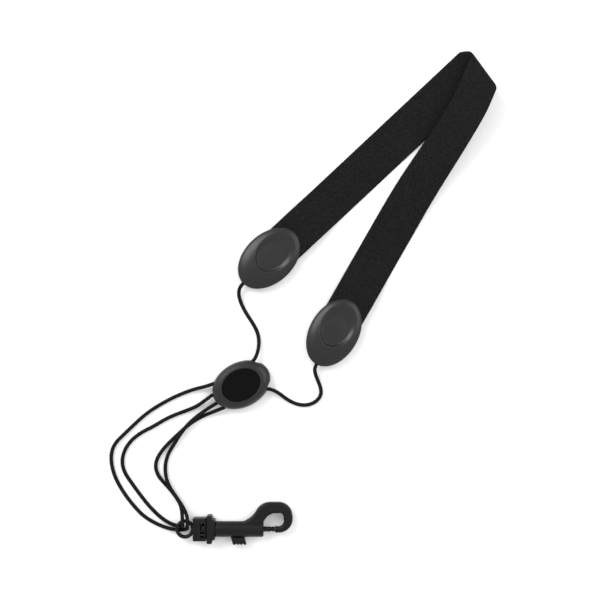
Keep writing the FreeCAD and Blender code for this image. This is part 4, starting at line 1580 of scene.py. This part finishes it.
def rounded_box(
    name: str,
    low: Point,
    high: Point,
    rounding: float,
    segments: int = 3,
) -> bpy.types.Object:
    """Box between two corners with rounded edges, in metres.

    Args:
        name: the piece's name.
        low: its lowest corner.
        high: its highest corner.
        rounding: radius of its edges.
        segments: faces round each edge.

    Returns:
        The closed object.
    """
    (x0, y0, z0), (x1, y1, z1) = low, high
    points = np.array([
        (x0, y0, z0), (x1, y0, z0), (x1, y1, z0), (x0, y1, z0),
        (x0, y0, z1), (x1, y0, z1), (x1, y1, z1), (x0, y1, z1),
    ])
    faces = [(0, 3, 2, 1), (4, 5, 6, 7), (0, 1, 5, 4), (1, 2, 6, 5), (2, 3, 7, 6), (3, 0, 4, 7)]
    piece = mesh_piece(name, points, faces)
    if rounding > 0:
        modifier = piece.modifiers.new("round", "BEVEL")
        modifier.width = rounding
        modifier.segments = segments
        baked(piece)
    return piece


def spring_tree() -> NodeTree:
    """Make the group that winds a closed coil of wire along X.

    Returns:
        The finished group.
    """
    tree = NodeTree("spring")
    for name in ("Coil radius", "Wire radius", "Length", "Coils"):
        tree.socket(name, "NodeSocketFloat")
    tree.socket("Finish", "NodeSocketMaterial")
    sizes = tree.add("NodeGroupInput").outputs
    coil = tree.add("GeometryNodeCurveSpiral", inputs={
        "Resolution": 28, "Rotations": sizes["Coils"], "Start Radius": sizes["Coil radius"],
        "End Radius": sizes["Coil radius"], "Height": sizes["Length"],
    })
    section = tree.add("GeometryNodeCurvePrimitiveCircle", inputs={
        "Resolution": 12, "Radius": sizes["Wire radius"],
    })
    wire = tree.add("GeometryNodeCurveToMesh", inputs={
        "Curve": coil.outputs[0], "Profile Curve": section.outputs[0], "Fill Caps": True,
    })
    laid = tree.add("GeometryNodeTransform", inputs={
        "Geometry": wire.outputs[0], "Rotation": (0.0, math.pi / 2, 0.0),
    })
    tree.finish(laid.outputs[0], sizes["Finish"])
    return tree


@dataclass
class SwivelHook:
    """Swivel eye and spring-gate hook on one axis, which points along X."""

    eye: Place
    hook: Place
    ring_inner: float = 4.8 * MM
    ring_outer: float = 7.7 * MM
    ring_height: float = 4.4 * MM
    cage_start: float = 6.9 * MM
    cage_block: float = 5.4 * MM
    window: float = 3.6 * MM
    end_wall: float = 1.2 * MM
    cage_width: float = 18.2 * MM
    cage_height: float = 11.0 * MM
    window_width: float = 12.8 * MM
    barrel_radius: float = 6.25 * MM
    barrel_length: float = 38.5 * MM
    bore_radius: float = 3.25 * MM
    gate_radius: float = 2.0 * MM
    gate_reach: float = 9.1 * MM
    gate_travel: float = 9.5 * MM
    head_thickness: float = 7.2 * MM
    flange: float = 4.4 * MM
    flange_width: float = 22.4 * MM
    step_thickness: float = 2.2 * MM
    step_width: float = 16.0 * MM
    post_radius: float = 1.8 * MM
    post_head_radius: float = 4.2 * MM
    post_head_length: float = 2.4 * MM
    gap: float = 0.3 * MM
    collar_front: float = 13.6 * MM
    collar_length: float = 5.0 * MM
    stem_length: float = 3.2 * MM
    stem_setback: float = 1.5 * MM
    stem_thickness: float = 3.0 * MM
    tab_length: float = 10.6 * MM
    tab_lean: float = 1.6 * MM
    tab_slant: float = 1.5 * MM
    tab_thickness: float = 6.0 * MM
    tab_reach: float = 12.1 * MM
    spring_radius: float = 2.45 * MM
    spring_wire: float = 0.25 * MM
    spring_coils: float = 9.0

    def finish_piece(
        self, piece: bpy.types.Object, place: Place, node: str, body: str, angle: float = 32.0
    ) -> None:
        """Shade, place, dress and attach one rigid piece.

        Args:
            piece: the piece, in its own axes.
            place: where it goes.
            node: the CAD node it replaces.
            body: the body that carries it.
            angle: the sharpest bend that is still smooth.
        """
        shade(piece, angle)
        place.settle(piece)
        attach(piece, Finish.HOOK, node, body)

    def swivel_eye(self) -> None:
        """Ring with its cage, as one moulding."""
        half = self.ring_height / 2
        middle = (self.ring_inner + self.ring_outer) / 2
        reach = (self.ring_outer - self.ring_inner) / 2
        round_steps, section_steps = 96, 28
        section = turns(section_steps)
        across = middle + reach * np.sign(np.cos(section)) * np.abs(np.cos(section)) ** 0.7
        up = half * np.sign(np.sin(section)) * np.abs(np.sin(section)) ** 0.8
        points = np.array([
            (r * math.cos(a), r * math.sin(a), z)
            for a in turns(round_steps) for r, z in zip(across, up)
        ])
        faces = []
        for i in range(round_steps):
            a, b = i * section_steps, ((i + 1) % round_steps) * section_steps
            for j in range(section_steps):
                k = (j + 1) % section_steps
                faces.append((a + j, b + j, b + k, a + k))
        ring = face_out(mesh_piece("swivel_moulding", points, faces))
        window_start = self.cage_start + self.cage_block
        window_end = window_start + self.window
        cage_end = window_end + self.end_wall
        side = self.cage_width / 2
        deep = self.cage_height / 2
        cage = rounded_box(
            "cage", (self.cage_start - 0.4 * MM, -side, -deep), (cage_end, side, deep), 1.0 * MM, 4
        )
        opening = rounded_box(
            "opening",
            (window_start, -self.window_width / 2, -2 * deep),
            (window_end, self.window_width / 2, 2 * deep), 0.5 * MM,
        )
        post_hole = lathe(
            "post_hole", [(window_start + 1 * MM, 1.85 * MM), (cage_end + 2 * MM, 1.85 * MM)], 48
        )
        groove = rounded_box(
            "groove", (self.cage_start + 1.7 * MM, -side * 1.2, deep - 0.35 * MM),
            (self.cage_start + 2.5 * MM, side * 1.2, deep + 2 * MM), 0.0,
        )
        carve(cage, [opening, post_hole, groove])
        carve(ring, [cage], Tooling.JOIN)
        self.finish_piece(ring, self.eye, "swivel_eye", "swivel")

    def rear_plug(self) -> None:
        """Finger flange, captive post and plug, as one moulding."""
        rear = -self.barrel_length
        step_rear = rear - self.step_thickness
        flange_rear = step_rear - self.flange
        head_front = flange_rear - self.gap - self.end_wall - self.gap
        head_rear = head_front - self.post_head_length
        core = lathe("hook_plug_moulding", [
            (head_rear, self.post_head_radius - 0.7 * MM),
            (head_rear + 0.3 * MM, self.post_head_radius - 0.2 * MM),
            (head_rear + 0.8 * MM, self.post_head_radius),
            (head_front, self.post_head_radius),
            (head_front, self.post_radius),
            (flange_rear + 1 * MM, self.post_radius),
            (flange_rear + 1 * MM, self.bore_radius - 0.05 * MM),
            (rear + 1.7 * MM, self.bore_radius - 0.05 * MM),
            (rear + 2.0 * MM, self.bore_radius - 0.4 * MM),
        ])
        flange = rounded_box(
            "flange",
            (flange_rear, -self.flange_width / 2, -self.barrel_radius),
            (step_rear, self.flange_width / 2, self.barrel_radius), 1.3 * MM, 4,
        )
        step = rounded_box(
            "step",
            (step_rear - 2.0 * MM, -self.step_width / 2, -self.barrel_radius + 0.2 * MM),
            (rear, self.step_width / 2, self.barrel_radius - 0.2 * MM), 0.7 * MM, 3,
        )
        carve(core, [flange, step], Tooling.JOIN)
        self.finish_piece(core, self.hook, "hook_rear_plug", "hook")

    def head_outline(self) -> np.ndarray:
        """Outline of the head: back, crown, nose and eye.

        Returns:
            Its corners as (corner, xy), in metres.
        """
        pieces = [
            ((-30.0, 3.0), None), ((-17.0, 5.8), (-9.0, 10.6)), ((-5.2, 15.8), (-0.6, 20.0)),
            ((5.4, 21.5), None), ((12.4, 21.5), (19.8, 18.3)), ((22.9, 11.2), (21.2, 2.0)),
            ((13.4, -2.6), None), ((9.2, -2.6), None), ((9.2, 2.6), (14.6, 3.2)),
            ((15.9, 8.0), None), ((15.9, 9.8), (14.9, 12.2)), ((12.4, 12.8), None),
            ((8.0, 12.7), (3.4, 10.4)), ((0.0, 5.2), None), ((0.0, -5.0), None),
            ((-30.0, -5.0), None),
        ]
        corners = []
        for index, (start, middle) in enumerate(pieces):
            end = pieces[(index + 1) % len(pieces)][0]
            if middle is None:
                corners.append(start)
            else:
                corners += arc_points(start, middle, end, 14)
        return np.array(corners)[::-1] * MM

    def body_moulding(self) -> None:
        """Barrel and head in one moulding, bored for the gate and slotted for the tab."""
        length = self.barrel_length
        radius = self.barrel_radius
        barrel = lathe("hook_moulding", [
            (-length, radius - 0.9 * MM), (-length + 0.25 * MM, radius - 0.35 * MM),
            (-length + 0.8 * MM, radius - 0.02 * MM), (-length + 2.6 * MM, radius),
            (-1.2 * MM, radius), (-0.5 * MM, radius - 0.2 * MM), (-0.1 * MM, radius - 0.7 * MM),
            (0.0, radius - 1.2 * MM),
        ], 96)
        head = plate("head", self.head_outline(), self.head_thickness, 1.9 * MM, 5)
        carve(barrel, [head], Tooling.JOIN)
        bore = lathe("bore", [
            (-length - 5 * MM, self.bore_radius), (-10.0 * MM, self.bore_radius),
            (-10.0 * MM, self.gate_radius + 0.05 * MM), (-0.4 * MM, self.gate_radius + 0.05 * MM),
            (0.0, self.gate_radius + 0.4 * MM), (3.0 * MM, self.gate_radius + 0.4 * MM),
        ], 64)
        front = -self.collar_front - self.stem_setback
        slot = rounded_box(
            "slot",
            (
                front - self.stem_length - self.gate_travel - self.gap, -2 * radius,
                -self.stem_thickness / 2 - self.gap,
            ),
            (front + self.gap, 0.0, self.stem_thickness / 2 + self.gap), 0.0,
        )
        carve(barrel, [bore, slot])
        self.finish_piece(barrel, self.hook, "hook_body", "hook", 30.0)

    def gate(self) -> None:
        """Sliding bolt with its collar, and the toothed tab."""
        front = -self.collar_front
        collar = self.bore_radius - 0.05 * MM
        reach = self.gate_reach
        radius = self.gate_radius
        bolt = lathe("gate_bolt", [
            (front - self.collar_length, collar), (front, collar), (front, radius),
            (reach - 3.4 * MM, radius), (reach - 3.0 * MM, radius - 0.35 * MM),
            (reach - 2.4 * MM, radius - 0.35 * MM), (reach - 2.0 * MM, radius),
            (reach - 0.7 * MM, radius), (reach - 0.2 * MM, radius - 0.25 * MM),
            (reach, radius - 0.75 * MM),
        ])
        self.finish_piece(bolt, self.hook, "gate_plunger", "gate")
        stem_front = front - self.stem_setback
        top = -self.barrel_radius - self.gap
        low = -self.tab_reach
        low_front = stem_front + self.tab_slant
        low_rear = low_front - self.tab_length
        pitch = self.tab_length / TOOTH_COUNT
        corners = [(low_rear - self.tab_lean, top), (low_rear, low)]
        notch = 0.8 * MM
        for tooth in range(1, TOOTH_COUNT):
            middle = low_rear + tooth * pitch
            corners += [(middle - notch, low), (middle, low + 0.9 * MM), (middle + notch, low)]
        corners += [(low_front, low), (stem_front, top)]
        pad = plate("thumb_tab_moulding", np.array(corners), self.tab_thickness, 0.45 * MM, 3)
        stem = rounded_box(
            "stem",
            (stem_front - self.stem_length, -self.barrel_radius - 1 * MM, -self.stem_thickness / 2),
            (stem_front, -0.6 * MM, self.stem_thickness / 2), 0.0,
        )
        carve(pad, [stem], Tooling.JOIN)
        self.finish_piece(pad, self.hook, "thumb_tab", "gate")

    def spring(self) -> None:
        """Compression spring behind the bolt, made by Geometry Nodes."""
        rear = -self.barrel_length + 2.0 * MM + self.gap + self.spring_wire
        front = -self.collar_front - self.collar_length - self.gap - self.spring_wire
        mesh = bpy.data.meshes.new("spring_seed")
        mesh.from_pydata([(0.0, 0.0, 0.0)], [], [])
        piece = linked("gate_spring_coil", mesh)
        spring_tree().run(piece, {
            "Coil radius": self.spring_radius, "Wire radius": self.spring_wire,
            "Length": front - rear, "Coils": self.spring_coils, "Finish": Finish.SPRING.material,
        })
        Place((rear, 0.0, 0.0)).settle(piece)
        face_out(piece)
        shade(piece, 60.0)
        self.hook.settle(piece)
        dress(piece, Finish.SPRING)
        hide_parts("gate_spring")
        ends = self.hook.put(np.array([[rear, 0.0, 0.0], [front, 0.0, 0.0]]))
        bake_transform(piece)

    def build(self) -> None:
        """Make every piece of the swivel and the hook."""
        self.swivel_eye()
        self.rear_plug()
        self.body_moulding()
        self.gate()
        self.spring()
        LOG.info("hook: swivel eye, plug, body, gate, tab and spring")


# ---------------------------------------------------------------- studio


@dataclass
class Studio:
    """Pale table, soft light from the upper left and a camera straight above."""

    view_width: float = 0.48
    centre: tuple[float, float] = (-27.8 * MM, -2.2 * MM)
    lens: float = 80.0
    sensor: float = 36.0

    def camera(self) -> None:
        """Camera over the table, its picture as wide as the view."""
        data = bpy.data.cameras.new("camera")
        data.lens = self.lens
        data.sensor_width = self.sensor
        data.clip_start = 0.01
        camera = linked("camera", data)
        camera.location = (*self.centre, self.lens / self.sensor * self.view_width)
        bpy.context.scene.camera = camera

    def lamp(self, name: str, place: Point, size: float, power: float) -> None:
        """Square soft lamp that faces the strap.

        Args:
            name: the lamp's name.
            place: where it stands.
            size: length of its side.
            power: its power in watts.
        """
        data = bpy.data.lights.new(name, "AREA")
        data.size = size
        data.energy = power
        lamp = linked(name, data)
        lamp.location = place
        aim = Vector((*self.centre, 0.0)) - Vector(place)
        lamp.rotation_euler = aim.to_track_quat("-Z", "Y").to_euler()

    def table(self) -> None:
        """Plain floor under the strap."""
        reach = 6.0
        points = np.array([(-1, -1, 0), (1, -1, 0), (1, 1, 0), (-1, 1, 0)]) * reach
        floor = mesh_piece("table_top", points, [(0, 1, 2, 3)])
        floor.data.materials.append(TableTop().build())

    def build(self) -> None:
        """Set the stage."""
        self.camera()
        self.table()
        self.lamp("window_light", (-1.05, 0.9, 1.1), 1.1, 25.0)
        self.lamp("fill_light", (1.1, 0.45, 1.2), 1.6, 14.0)
        world = bpy.data.worlds.new("room")
        world.use_nodes = True
        room = world.node_tree.nodes["Background"].inputs
        room["Color"].default_value = (1.0, 1.0, 1.0, 1.0)
        room["Strength"].default_value = 1.0
        bpy.context.scene.world = world
        bpy.context.scene.view_settings.view_transform = "Standard"


def build_cords(slider: Place) -> None:
    """Make the four free stretches of the cord.

    Args:
        slider: where the adjuster lies.
    """
    mouth = slider.put(np.array([20.0 * MM, 0.0, 0.0]))
    tail = slider.put(np.array([-22.0 * MM, 0.0, 0.0]))
    far = slider.put(np.array([-92.0 * MM, 0.0, 0.0]))
    starts = {"cord_upper_a": (-73.0, 11.0, 6.2), "cord_upper_b": (-15.5, -53.5, 6.2)}
    for name, route in CORD_ROUTES.items():
        if name in starts:
            start = tuple(number * MM for number in starts[name])
            cord = FreeCord(name, route, ("neck_band", "slider"), start, tuple(mouth))
        else:
            cord = FreeCord(name, route, ("slider", "neck_band"), tuple(tail), tuple(far))
        piece = cord.build()
        LOG.info("%s: %d faces", piece.name, len(piece.data.polygons))


def main() -> None:
    """Load the frame and build everything in order."""
    logging.basicConfig(level=logging.INFO, format="%(message)s")
    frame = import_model()
    joints = {joint["name"]: joint for joint in frame["joints"]}
    studio = Studio()
    studio.build()
    build_cords(SLIDER)
    NeckBand().build()
    EndCap("cap_a", CAP_A).build()
    EndCap("cap_b", CAP_B).build()
    Adjuster(SLIDER).build()
    eye = Place(tuple(joints["swivel_hinge"]["pos_m"]))
    hook = Place(tuple(joints["hook_spin"]["pos_m"]))
    SwivelHook(eye, hook).build()


if __name__ == "__main__":
    main()
